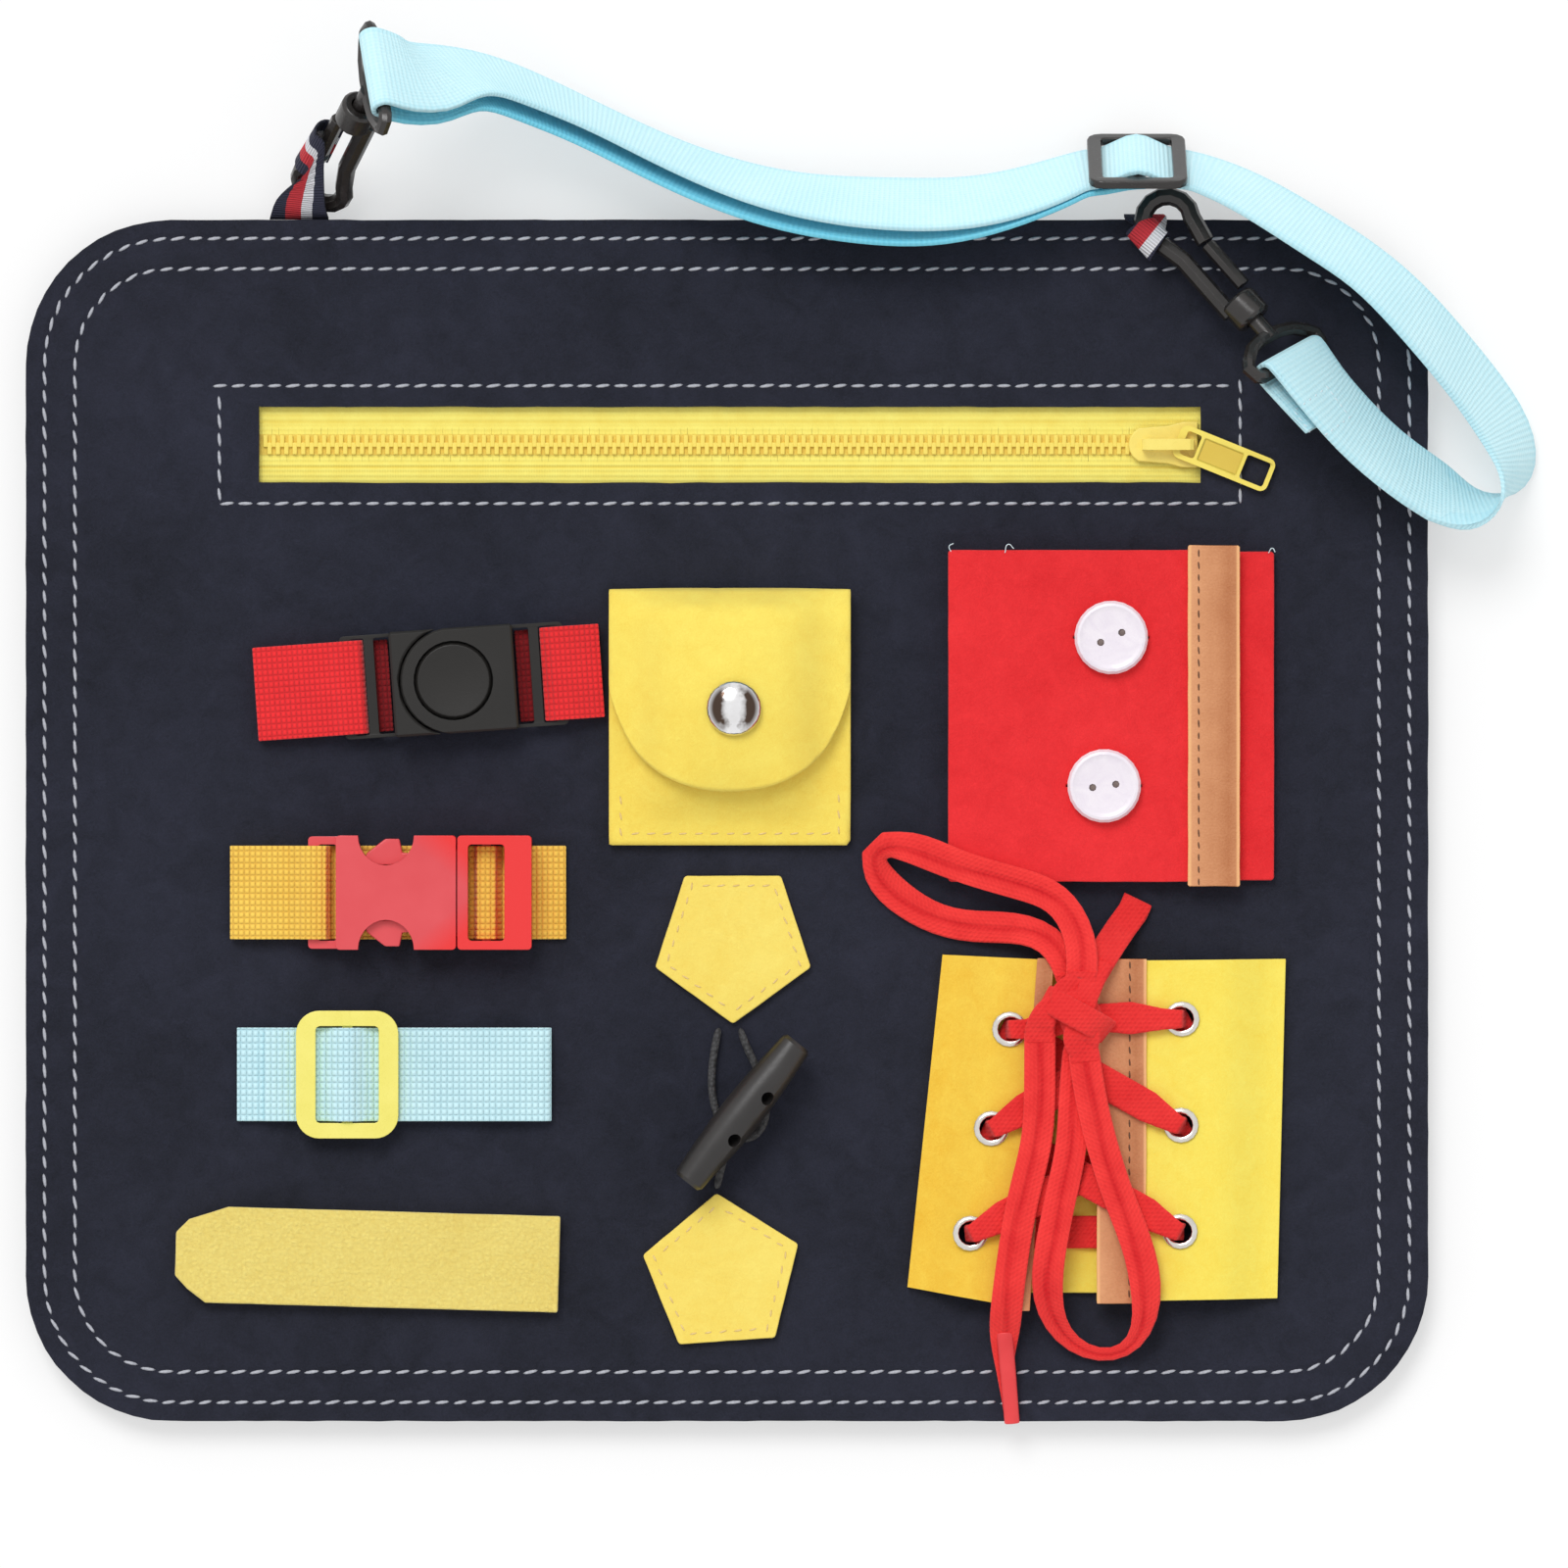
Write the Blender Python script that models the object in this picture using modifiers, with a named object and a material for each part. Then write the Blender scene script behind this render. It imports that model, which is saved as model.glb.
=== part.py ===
"""Felt dressing skills board: a felt panel with a zip, buckles, snap pocket, toggle, buttons, lacing and strap.

Metres, +Z up. The board lies face up on its back: +X is to the right, +Y towards the carry strap,
and the origin is the middle of its back face.
"""

import math

import bmesh
import bpy
from mathutils import Matrix, Vector

for old in list(bpy.data.objects):
    bpy.data.objects.remove(old, do_unlink=True)

# Driving sizes of the whole board
board_width = 0.300
board_height = 0.257
board_corner = 0.031
board_felt = 0.003
patch_felt = 0.002
trim_felt = 0.0015
webbing_width = 0.020
webbing = 0.0012
gap = 0.0003
overrun = 0.004
ledge = 0.0002
arc_steps = 8

board_top_y = board_height / 2
front_bottom = board_felt + gap
face = front_bottom + board_felt
seat = face + gap

parts = bpy.data.collections.new("felt_dressing_skills_board")
cutters = bpy.data.collections.new("cutters")
for collection in (parts, cutters):
    bpy.context.scene.collection.children.link(collection)


# Making and joining shapes

def paint(name, colour, roughness, metallic=0.0):
    """A Principled material from a colour given as screen values from 0 to 255."""
    made = bpy.data.materials.get(name)
    if made:
        return made
    made = bpy.data.materials.new(name)
    made.use_nodes = True
    shader = made.node_tree.nodes["Principled BSDF"]
    linear = [(value / 255) ** 2.2 for value in colour]
    shader.inputs["Base Color"].default_value = (*linear, 1)
    shader.inputs["Roughness"].default_value = roughness
    shader.inputs["Metallic"].default_value = metallic
    made.diffuse_color = (*linear, 1)
    return made


def empty(name, place, matrix=None, parent=None):
    """A frame that carries the pieces of one assembly or one joint."""
    made = bpy.data.objects.new(name, None)
    parts.objects.link(made)
    made.parent = parent
    made.matrix_local = Matrix.Translation(Vector(place)) @ (matrix or Matrix())
    return made


def from_bmesh(name, made, finish=None, parent=None):
    """A named object from a bmesh, shaded smooth except at its edges."""
    mesh = bpy.data.meshes.new(name)
    made.to_mesh(mesh)
    made.free()
    piece = bpy.data.objects.new(name, mesh)
    parts.objects.link(piece)
    piece.parent = parent
    if finish:
        mesh.materials.append(finish)
    mesh.shade_smooth()
    mesh.set_sharp_from_angle(angle=math.radians(35))
    return piece


def curve_to_mesh(curve_piece):
    """A curve object made into a mesh object with welded caps, in the same place."""
    name = curve_piece.name
    view = bpy.context.evaluated_depsgraph_get()
    mesh = bpy.data.meshes.new_from_object(curve_piece.evaluated_get(view))
    made = bmesh.new()
    made.from_mesh(mesh)
    bmesh.ops.remove_doubles(made, verts=made.verts, dist=1e-6)
    made.to_mesh(mesh)
    made.free()
    piece = bpy.data.objects.new(name, mesh)
    parts.objects.link(piece)
    piece.parent = curve_piece.parent
    piece.matrix_local = curve_piece.matrix_local
    bpy.data.objects.remove(curve_piece, do_unlink=True)
    piece.name = name
    mesh.shade_smooth()
    mesh.set_sharp_from_angle(angle=math.radians(35))
    return piece


def plate(name, outlines, bottom, top, finish=None, parent=None):
    """A flat outline, with any holes, filled between two heights."""
    curve = bpy.data.curves.new(name, "CURVE")
    curve.dimensions = "2D"
    curve.fill_mode = "BOTH"
    curve.extrude = (top - bottom) / 2
    for outline in outlines:
        spline = curve.splines.new("POLY")
        spline.points.add(len(outline) - 1)
        for point, (x, y) in zip(spline.points, outline):
            point.co = (x, y, 0, 1)
        spline.use_cyclic_u = True
    piece = bpy.data.objects.new(name, curve)
    parts.objects.link(piece)
    piece.parent = parent
    piece.matrix_local = Matrix.Translation((0, 0, (top + bottom) / 2))
    piece = curve_to_mesh(piece)
    if finish:
        piece.data.materials.append(finish)
    return piece


def box(name, low, high, finish=None, parent=None):
    """A block between two corners."""
    low, high = Vector(low), Vector(high)
    made = bmesh.new()
    bmesh.ops.create_cube(made, size=1)
    size = high - low
    bmesh.ops.scale(made, verts=made.verts, vec=size)
    bmesh.ops.translate(made, verts=made.verts, vec=(low + high) / 2)
    return from_bmesh(name, made, finish, parent)


def cylinder(name, radius, bottom, top, place=(0, 0), finish=None, parent=None, sides=32):
    """A round post between two heights."""
    made = bmesh.new()
    bmesh.ops.create_cone(made, cap_ends=True, segments=sides, radius1=radius, radius2=radius,
                          depth=top - bottom)
    bmesh.ops.translate(made, verts=made.verts, vec=(*place, (top + bottom) / 2))
    return from_bmesh(name, made, finish, parent)


def turned(name, profile, finish=None, parent=None, matrix=None, sides=32):
    """A profile of radius and height pairs, listed from the top down, turned about +Z."""
    mesh = bpy.data.meshes.new(name)
    made = bmesh.new()
    corners = [made.verts.new((radius, 0, height)) for radius, height in profile]
    for start, end in zip(corners, corners[1:]):
        made.edges.new((start, end))
    made.to_mesh(mesh)
    made.free()
    piece = bpy.data.objects.new(name, mesh)
    parts.objects.link(piece)
    piece.parent = parent
    if matrix:
        piece.matrix_local = matrix
    screw = piece.modifiers.new("Turn", "SCREW")
    screw.steps = sides
    screw.render_steps = sides
    screw.use_merge_vertices = True
    screw.merge_threshold = 1e-6
    if finish:
        mesh.materials.append(finish)
    return piece


def tube(name, points, radius, finish=None, parent=None, cyclic=False, resolution=2):
    """A round bar or cord along points."""
    curve = bpy.data.curves.new(name, "CURVE")
    curve.dimensions = "3D"
    curve.bevel_depth = radius
    curve.bevel_resolution = resolution
    curve.use_fill_caps = not cyclic
    spline = curve.splines.new("POLY")
    spline.points.add(len(points) - 1)
    for point, place in zip(spline.points, points):
        point.co = (*place, 1)
    spline.use_cyclic_u = cyclic
    piece = bpy.data.objects.new(name, curve)
    parts.objects.link(piece)
    piece.parent = parent
    piece = curve_to_mesh(piece)
    if finish:
        piece.data.materials.append(finish)
    return piece


def sheet(name, columns, rows, place, thickness, finish=None, parent=None, even=True):
    """A grid bent by a function of two shares, thickened evenly about its middle."""
    made = bmesh.new()
    bmesh.ops.create_grid(made, x_segments=columns, y_segments=rows, size=1)
    for corner in made.verts:
        corner.co = place((corner.co.x + 1) / 2, (corner.co.y + 1) / 2)
    piece = from_bmesh(name, made, finish, parent)
    wall = piece.modifiers.new("Thickness", "SOLIDIFY")
    wall.thickness = thickness
    wall.offset = 0
    wall.use_even_offset = even
    wall.thickness_clamp = 0
    return piece


def strip(name, side_path, width, thickness, finish=None, parent=None, centre=0.0):
    """Webbing that follows a side view of X and Z pairs, straight across its width in Y."""
    last = len(side_path) - 1

    def bend(along, across):
        x, z = side_path[round(along * last)]
        return Vector((x, centre + (across - 0.5) * width, z))

    return sheet(name, last, 1, bend, thickness, finish, parent)


def as_tool(tool):
    """A shape that only cuts or joins another."""
    tool.hide_render = True
    tool.display_type = "WIRE"
    for owner in tool.users_collection:
        owner.objects.unlink(tool)
    cutters.objects.link(tool)
    return tool


def combine(piece, tool, operation="DIFFERENCE"):
    """Cuts the tool out of the piece, or joins it on."""
    as_tool(tool)
    step = piece.modifiers.new(tool.name, "BOOLEAN")
    step.operation = operation
    step.solver = "EXACT"
    step.object = tool
    return piece


def soften(piece, width, segments=2, angle=40):
    """Rounded edges, as moulded plastic has."""
    bevel = piece.modifiers.new("Soft edges", "BEVEL")
    bevel.width = width
    bevel.segments = segments
    bevel.limit_method = "ANGLE"
    bevel.angle_limit = math.radians(angle)
    return piece


def arc(centre, radius, start, end, steps=arc_steps):
    """Points along a circle between two angles in degrees."""
    return [
        (
            centre[0] + radius * math.cos(math.radians(start + (end - start) * step / steps)),
            centre[1] + radius * math.sin(math.radians(start + (end - start) * step / steps)),
        )
        for step in range(steps + 1)
    ]


def rounded(width, height, radius, centre=(0, 0), steps=arc_steps):
    """The outline of a rectangle with round corners."""
    x, y = width / 2 - radius, height / 2 - radius
    corners = [(x, y, 0), (-x, y, 90), (-x, -y, 180), (x, -y, 270)]
    return [
        point
        for across, up, start in corners
        for point in arc((centre[0] + across, centre[1] + up), radius, start, start + 90, steps)
    ]


def smooth_path(points, spacing):
    """Points about one spacing apart on a smooth curve through a route."""
    route = [Vector(point) for point in points]
    padded = [2 * route[0] - route[1], *route, 2 * route[-1] - route[-2]]
    found = [route[0]]
    for before, start, end, after in zip(padded, padded[1:], padded[2:], padded[3:]):
        steps = max(1, round((end - start).length / spacing))
        for step in range(1, steps + 1):
            t = step / steps
            found.append(
                0.5
                * (
                    2 * start
                    + (end - before) * t
                    + (2 * before - 5 * start + 4 * end - after) * t**2
                    + (3 * start - before - 3 * end + after) * t**3
                )
            )
    return found


def band(name, points, widths, thickness, finish=None, parent=None, across=None):
    """A flat lace or strap along points; it lies level unless directions across it are given."""
    last = len(points) - 1
    sides = []
    for index, point in enumerate(points):
        if across:
            sides.append(Vector(across[index]).normalized())
            continue
        ahead = points[min(index + 1, last)] - points[max(index - 1, 0)]
        level = Vector((-ahead.y, ahead.x, 0))
        if level.length < 0.3 * ahead.length and sides:
            sides.append(sides[-1])
        else:
            sides.append(level.normalized())
    if not isinstance(widths, list):
        widths = [widths] * len(points)

    def lay(along, share):
        index = round(along * last)
        return points[index] + sides[index] * (share - 0.5) * widths[index]

    return sheet(name, last, 1, lay, thickness, finish, parent)


# Board: two felt panels sewn together round the edge

navy = paint("navy_felt", (45, 47, 60), 0.95)
back_panel = plate("back_panel", [rounded(board_width, board_height, board_corner, steps=12)],
                   0, board_felt, navy)
front_panel = plate("front_panel", [rounded(board_width, board_height, board_corner, steps=12)],
                    front_bottom, face, navy)

# Zip: two tapes with moulded teeth, under a window in the front panel

zip_x = 0.0006
zip_y = 0.0804
window_length = 0.2015
window_height = 0.0162
tape = 0.0005
tape_reach = 0.016
tape_tail = 0.005
tape_edge = 0.0016
tooth_pitch = 0.0035
tooth_width = 0.00145
tooth_foot = 0.0036
tooth_tip = 0.00125
tooth_height = 0.002
slider_length = 0.0128
slider_width = 0.0098
slider_waist = 0.0082
slider_plate = 0.0007
slider_end_gap = 0.0006
wedge_length = 0.0034
wedge_width = 0.0026
crown_length = 0.0110
crown_width = 0.0024
crown_leg = 0.0016
crown_rise = 0.0025
crown_plate = 0.001
pull_length = 0.0217
pull_width = 0.0074
pull_plate = 0.0012
pull_bar = 0.0016
pull_slot_length = 0.0032
pull_slot_width = 0.0053
pull_hole = 0.0054
pull_rim = 0.001
pull_yaw = -22

zip_mid = front_bottom + tooth_height / 2 + gap / 3
channel_ceiling = zip_mid + tooth_height / 2 + gap
channel_floor = zip_mid - tooth_height / 2 - gap
slider_top = channel_ceiling + slider_plate
slider_bottom = channel_floor - slider_plate
slider_right = zip_x + window_length / 2 - slider_end_gap
slider_left = slider_right - slider_length
zip_frame = empty("zip_frame", (zip_x, zip_y, 0))

combine(front_panel, box("zip_window",
                         (zip_x - window_length / 2, zip_y - window_height / 2, front_bottom - overrun),
                         (zip_x + window_length / 2, zip_y + window_height / 2, face + overrun)))
tape_room = tape_reach + gap
combine(front_panel, box("tape_recess",
                         (zip_x - window_length / 2 - tape_tail - gap, zip_y - tape_room,
                          front_bottom - overrun),
                         (zip_x + window_length / 2 + tape_tail + gap, zip_y + tape_room,
                          zip_mid + tape / 2 + gap)))
slider_room = slider_width / 2 + 2 * gap
combine(back_panel, box("slider_channel",
                        (zip_x - window_length / 2, zip_y - slider_room, slider_bottom - gap),
                        (zip_x + window_length / 2, zip_y + slider_room, board_felt + overrun)))

zip_yellow = paint("zip_yellow", (238, 216, 102), 0.8)
teeth_start = -window_length / 2 + tooth_pitch
wedge_start = slider_right - zip_x - wedge_length - gap
teeth_end = wedge_start - tooth_width
teeth_count = int((teeth_end - teeth_start) / tooth_pitch)


def tooth_outline(x, side):
    """One tooth, its foot on the tape and its head past the middle line."""
    half, tip = tooth_width / 2, tooth_tip
    outline = [
        (x - half / 2, -tip),
        (x + half / 2, -tip),
        (x + half, -tip / 2),
        (x + half, tooth_foot),
        (x - half, tooth_foot),
        (x - half, -tip / 2),
    ]
    return [(across, side * up) for across, up in outline]


for label, side in (("upper", 1), ("lower", -1)):
    near, far = sorted((side * tape_edge, side * tape_reach))
    cloth = box("zip_tape_" + label,
                (-window_length / 2 - tape_tail, near, zip_mid - tape / 2),
                (window_length / 2 + tape_tail, far, zip_mid + tape / 2), zip_yellow, zip_frame)
    offset = 0 if side > 0 else tooth_pitch / 2
    rows = [tooth_outline(teeth_start + offset + index * tooth_pitch, side)
            for index in range(teeth_count)]
    teeth = plate("teeth_" + label, rows, zip_mid - tooth_height / 2, zip_mid + tooth_height / 2,
                  parent=zip_frame)
    combine(cloth, teeth, "UNION")

slider_frame = empty("slider_frame", (slider_right, zip_y, 0))


def slider_outline():
    """The slider from above: wide at its mouth on the right, narrow behind."""
    wide, waist = slider_width / 2, slider_waist / 2
    back = arc((-slider_length + waist / 2, 0), waist, 120, 240, 6)
    front = [(-slider_length / 2, -waist), (-wedge_length, -wide), (0, -wide)]
    mirrored = [(x, -y) for x, y in reversed(front)]
    return back + front + mirrored


zip_slider = plate("zip_slider", [slider_outline()], slider_bottom, slider_top,
                   paint("zip_slider", (233, 208, 92), 0.45), slider_frame)
soften(zip_slider, slider_plate / 3, 1)
run = tooth_foot + gap
combine(zip_slider, box("slider_run", (-slider_length - overrun, -run, channel_floor),
                        (overrun, run, channel_ceiling), parent=slider_frame))
combine(zip_slider, box("slider_slit", (-slider_length - overrun, -slider_width, zip_mid - tape / 2 - gap),
                        (overrun, slider_width, zip_mid + tape / 2 + gap), parent=slider_frame))
wedge = [(-wedge_length, 0), (-wedge_length / 2, -wedge_width / 2), (-gap, 0),
         (-wedge_length / 2, wedge_width / 2)]
combine(zip_slider, plate("slider_wedge", [wedge], slider_bottom + slider_plate / 2,
                          slider_top - slider_plate / 2, parent=slider_frame), "UNION")
crown_left = -slider_length / 2 - crown_length / 2
crown_right = crown_left + crown_length
crown_under = slider_top + crown_rise
crown_top = crown_under + crown_plate
crown_arch = [
    (crown_left, slider_top - slider_plate / 2),
    (crown_left + crown_leg, slider_top - slider_plate / 2),
    (crown_left + crown_leg, crown_under),
    (crown_right - crown_leg, crown_under),
    (crown_right - crown_leg, slider_top - slider_plate / 2),
    (crown_right, slider_top - slider_plate / 2),
    (crown_right, crown_top - crown_plate / 2),
    (crown_right - crown_leg / 2, crown_top),
    (crown_left + crown_leg / 2, crown_top),
    (crown_left, crown_top - crown_plate / 2),
]
crown = plate("crown", [crown_arch], -crown_width / 2, crown_width / 2, parent=slider_frame)
crown.matrix_local = Matrix.Rotation(math.radians(90), 4, "X")
combine(zip_slider, crown, "UNION")

leg_middle = crown_right - crown_leg / 2
pull_reach = crown_leg / 2 + pull_bar / 2 + pull_slot_length / 5
yaw = math.radians(pull_yaw)
pull_height = slider_top + crown_rise / 2
pull_axis = empty("pull_axis",
                  (leg_middle - pull_reach * math.cos(yaw), -pull_reach * math.sin(yaw), pull_height),
                  Matrix.Rotation(yaw, 4, "Z"), slider_frame)
pull_middle = pull_length / 2 - pull_bar / 2
slot_middle = pull_bar / 2 + pull_slot_length / 2
hole_middle = pull_length - pull_bar / 2 - pull_rim - pull_hole / 2
zip_pull = plate("zip_pull",
                 [rounded(pull_length, pull_width, pull_bar, (pull_middle, 0), 4),
                  rounded(pull_slot_length, pull_slot_width, pull_bar / 3, (slot_middle, 0), 2),
                  rounded(pull_hole, pull_hole, pull_bar / 3, (hole_middle, 0), 2)],
                 -pull_plate / 2, pull_plate / 2, paint("zip_pull", (226, 196, 78), 0.4), pull_axis)

# Centre-release buckle: a tongue and a housing with a round button, on red webbing

plastic_black = paint("black_plastic", (46, 44, 44), 0.4)
red_webbing = paint("red_webbing", (206, 40, 46), 0.85)
buckle_x = -0.0584
buckle_y = 0.0299
buckle_turn = 4
buckle_reach = 0.0239
buckle_width = 0.0225
buckle_height = 0.0076
buckle_edge = 0.001
bar_thick = 0.002
bar_outer = 0.0023
slot_outer = 0.0029
bar_middle = 0.0021
slot_inner = 0.0034
button_radius = 0.0082
button_thick = 0.0016
button_travel = 0.0016
button_dish = 0.0006
ring_share = 1.01
tongue_width = 0.0094
tongue_plate = 0.002
tongue_reach = 0.0020
tongue_fold = 0.0186
housing_fold = 0.0160

buckle_frame = empty("buckle_frame", (buckle_x, buckle_y, 0),
                     Matrix.Rotation(math.radians(buckle_turn), 4, "Z"))
bar_bottom = seat + webbing + gap
bar_top = bar_bottom + bar_thick
buckle_top = seat + buckle_height
hole_radius = button_radius + gap
ring_radius = buckle_width / 2 * ring_share
rail = (buckle_width - webbing_width) / 2 - gap
tongue_bottom = bar_bottom + gap
tongue_top = tongue_bottom + tongue_plate
pocket_floor = tongue_bottom - gap
pocket_ceiling = tongue_top + gap
block_start = bar_outer + slot_outer + bar_middle + slot_inner


def ladder(name, side):
    """The flat webbing end of a buckle half, with two slots for webbing."""
    outer = side * buckle_reach
    inner = side * (buckle_reach - block_start - buckle_edge)
    slots = []
    inner_start = bar_outer + slot_outer + bar_middle
    for start, length in ((bar_outer, slot_outer), (inner_start, slot_inner + ledge)):
        middle = side * (buckle_reach - start - length / 2)
        slots.append(rounded(length, buckle_width - 2 * rail, length / 8, (middle, 0), 2))
    frame = rounded(abs(outer - inner), buckle_width - 2 * ledge, buckle_edge,
                    ((outer + inner) / 2, 0), 3)
    return plate(name, [frame, *slots], bar_bottom, bar_top, parent=buckle_frame)


tongue_left = -(buckle_reach - block_start)
half_buckle = buckle_width / 2
seam = ring_radius + gap
horn = -math.sqrt(seam**2 - half_buckle**2)
horn_angle = math.degrees(math.acos(horn / seam))
ring_start = math.degrees(math.asin(1 / ring_share))
tongue_outline = [(tongue_left, -half_buckle), (horn, -half_buckle)]
tongue_outline += arc((0, 0), seam, 360 - horn_angle, horn_angle, 16)[1:-1]
tongue_outline += [(horn, half_buckle), (tongue_left, half_buckle)]
centre_buckle_tongue = plate("centre_buckle_tongue", [tongue_outline], seat, buckle_top,
                             plastic_black, buckle_frame)
soften(centre_buckle_tongue, buckle_edge / 2, 1)
combine(centre_buckle_tongue, ladder("tongue_ladder", -1), "UNION")
combine(centre_buckle_tongue,
        plate("tongue_blade",
              [rounded(tongue_reach + seam + buckle_edge, tongue_width, buckle_edge,
                       ((tongue_reach - seam - buckle_edge) / 2, 0), 3)],
              tongue_bottom, tongue_top, parent=buckle_frame), "UNION")

housing_right = buckle_reach - block_start
housing_outline = arc((0, 0), ring_radius, 180 - ring_start, 180 + ring_start, 16)
housing_outline += [(housing_right, -half_buckle), (housing_right, half_buckle)]
centre_buckle_housing = plate("centre_buckle_housing", [housing_outline], seat, buckle_top,
                              plastic_black, buckle_frame)
soften(centre_buckle_housing, buckle_edge / 2, 1)
combine(centre_buckle_housing, ladder("housing_ladder", 1), "UNION")
combine(centre_buckle_housing,
        box("tongue_pocket", (-ring_radius - overrun, -tongue_width / 2 - gap, pocket_floor),
            (tongue_reach + overrun, tongue_width / 2 + gap, pocket_ceiling), parent=buckle_frame))
combine(centre_buckle_housing,
        cylinder("button_well", hole_radius, pocket_ceiling - gap / 2, buckle_top + overrun,
                 parent=buckle_frame))
button_bottom = pocket_ceiling + button_travel
button_top = button_bottom + button_thick
button_profile = [
    (0, button_top - button_dish),
    (button_radius * 0.75, button_top - button_dish / 4),
    (button_radius - button_dish, button_top),
    (button_radius, button_top - button_dish),
    (button_radius, button_bottom),
    (0, button_bottom),
]
button_axis = empty("button_axis", (0, 0, 0), parent=buckle_frame)
centre_buckle_button = turned("centre_buckle_button", button_profile, plastic_black, button_axis)

bar_centre = buckle_reach - bar_outer / 2
webbing_low = seat + webbing / 2
webbing_over_bar = bar_top + gap + webbing / 2
red_left_reach = 0.0425
red_right_reach = 0.0316
red_left_side = [
    (-red_left_reach, webbing_low),
    (-buckle_reach, webbing_low),
    (-tongue_fold - slot_outer / 2, webbing_low),
    (-tongue_fold - slot_outer / 4, webbing_low + webbing),
    (-tongue_fold - slot_outer / 4, bar_top - webbing / 2),
    (-tongue_fold - slot_outer / 2, webbing_over_bar - webbing / 4),
    (-bar_centre, webbing_over_bar),
    (-buckle_reach - webbing, webbing_over_bar - webbing / 4),
    (-buckle_reach - 3 * webbing, (webbing_low + webbing_over_bar) / 2 + webbing / 2),
    (-red_left_reach, webbing_low + webbing + gap),
]
strip("red_webbing_left", red_left_side, webbing_width, webbing, red_webbing, buckle_frame)
red_right_side = [
    (red_right_reach, webbing_low),
    (buckle_reach, webbing_low),
    (housing_fold + bar_middle + slot_outer, webbing_low),
    (housing_fold + bar_middle + slot_outer / 2, webbing_low + webbing),
    (housing_fold + bar_middle + slot_outer / 2, bar_top - webbing / 2),
    (housing_fold + bar_middle + slot_outer, webbing_over_bar - webbing / 4),
    (bar_centre, webbing_over_bar),
    (buckle_reach + webbing, webbing_over_bar - webbing / 4),
    (buckle_reach + 3 * webbing, (webbing_low + webbing_over_bar) / 2 + webbing / 2),
    (red_right_reach, webbing_low + webbing + gap),
]
strip("red_webbing_right", red_right_side, webbing_width, webbing, red_webbing, buckle_frame)

# Side-release buckle: a socket with waisted sides, and a plug with two squeeze arms, on yellow webbing

plastic_red = paint("red_plastic", (226, 60, 68), 0.35)
yellow_webbing = paint("yellow_webbing", (230, 178, 66), 0.85)
squeeze_x = -0.0577
squeeze_y = -0.0154
squeeze_width = 0.0244
squeeze_height = 0.0072
squeeze_edge = 0.0008
socket_length = 0.0318
socket_bar = 0.0022
socket_slot = 0.0038
mouth_depth = 0.0215
mouth_width = 0.0192
mouth_height = 0.0040
notch_place = 0.0151
notch_length = 0.0060
notch_depth = 0.0064
plug_length = 0.0160
window_start = 0.0024
plug_window = 0.0078
plug_bar = 0.0018
neck_length = 0.0044
neck_overlap = 0.001
guide_length = 0.0165
guide_width = 0.0028
arm_pivot = 0.0024
arm_place = 0.0072
arm_width = 0.0026
arm_root = 0.0015
arm_reach = 0.0198
arm_head = 0.0082
arm_bulge = 0.0030
arm_height = 0.0034
yellow_left_reach = 0.0463
yellow_right_reach = 0.0233

squeeze_frame = empty("squeeze_frame", (squeeze_x, squeeze_y, 0))
socket_bottom = seat + webbing + gap
socket_top = socket_bottom + squeeze_height
socket_middle = (socket_bottom + socket_top) / 2
socket_bar_top = socket_bottom + bar_thick + gap
half_squeeze = squeeze_width / 2
body_left = -(socket_length - socket_bar - socket_slot)
side_buckle_socket = plate(
    "side_buckle_socket",
    [rounded(-body_left - gap / 2, squeeze_width, squeeze_edge, ((body_left - gap / 2) / 2, 0), 3)],
    socket_bottom, socket_top, plastic_red, squeeze_frame)
soften(side_buckle_socket, squeeze_edge, 2)
socket_middle_x = -(socket_length + mouth_depth) / 2
socket_rails = plate(
    "socket_rails",
    [rounded(socket_length - mouth_depth, squeeze_width - 2 * ledge, squeeze_edge,
             (socket_middle_x, 0), 3),
     rounded(socket_slot, webbing_width + 2 * gap, socket_slot / 8,
             (body_left - socket_slot / 2, 0), 2)],
    socket_bottom + ledge, socket_bar_top, parent=squeeze_frame)
combine(side_buckle_socket, socket_rails, "UNION")
combine(side_buckle_socket,
        box("socket_mouth", (-mouth_depth, -mouth_width / 2, socket_middle - mouth_height / 2),
            (overrun, mouth_width / 2, socket_middle + mouth_height / 2), parent=squeeze_frame))
for label, side in (("upper", 1), ("lower", -1)):
    notch = cylinder("socket_notch_" + label, 1, socket_bottom - overrun, socket_top + overrun,
                     sides=28, parent=squeeze_frame)
    for corner in notch.data.vertices:
        corner.co.x = corner.co.x * notch_length - notch_place
        corner.co.y = corner.co.y * notch_depth + side * half_squeeze
    combine(side_buckle_socket, notch)

side_buckle_plug = plate(
    "side_buckle_plug",
    [rounded(plug_length - gap / 2, squeeze_width, squeeze_edge, (plug_length / 2 + gap / 4, 0), 3),
     rounded(plug_window, webbing_width + 2 * gap, squeeze_edge,
             (window_start + plug_window / 2, 0), 3)],
    socket_bottom, socket_top, plastic_red, squeeze_frame)
soften(side_buckle_plug, squeeze_edge / 2, 1)
plug_bar_middle = window_start + plug_window / 2
combine(side_buckle_plug,
        box("plug_bar", (plug_bar_middle - plug_bar / 2, -webbing_width / 2 - 3 * gap,
                         socket_bottom + ledge),
            (plug_bar_middle + plug_bar / 2, webbing_width / 2 + 3 * gap, socket_bottom + bar_thick),
            parent=squeeze_frame), "UNION")
inside = mouth_height / 2 - gap
neck_half = mouth_width / 2 - gap
combine(side_buckle_plug,
        box("plug_neck", (-neck_length, -neck_half, socket_middle - inside),
            (neck_overlap, neck_half, socket_middle + inside), parent=squeeze_frame), "UNION")
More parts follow.
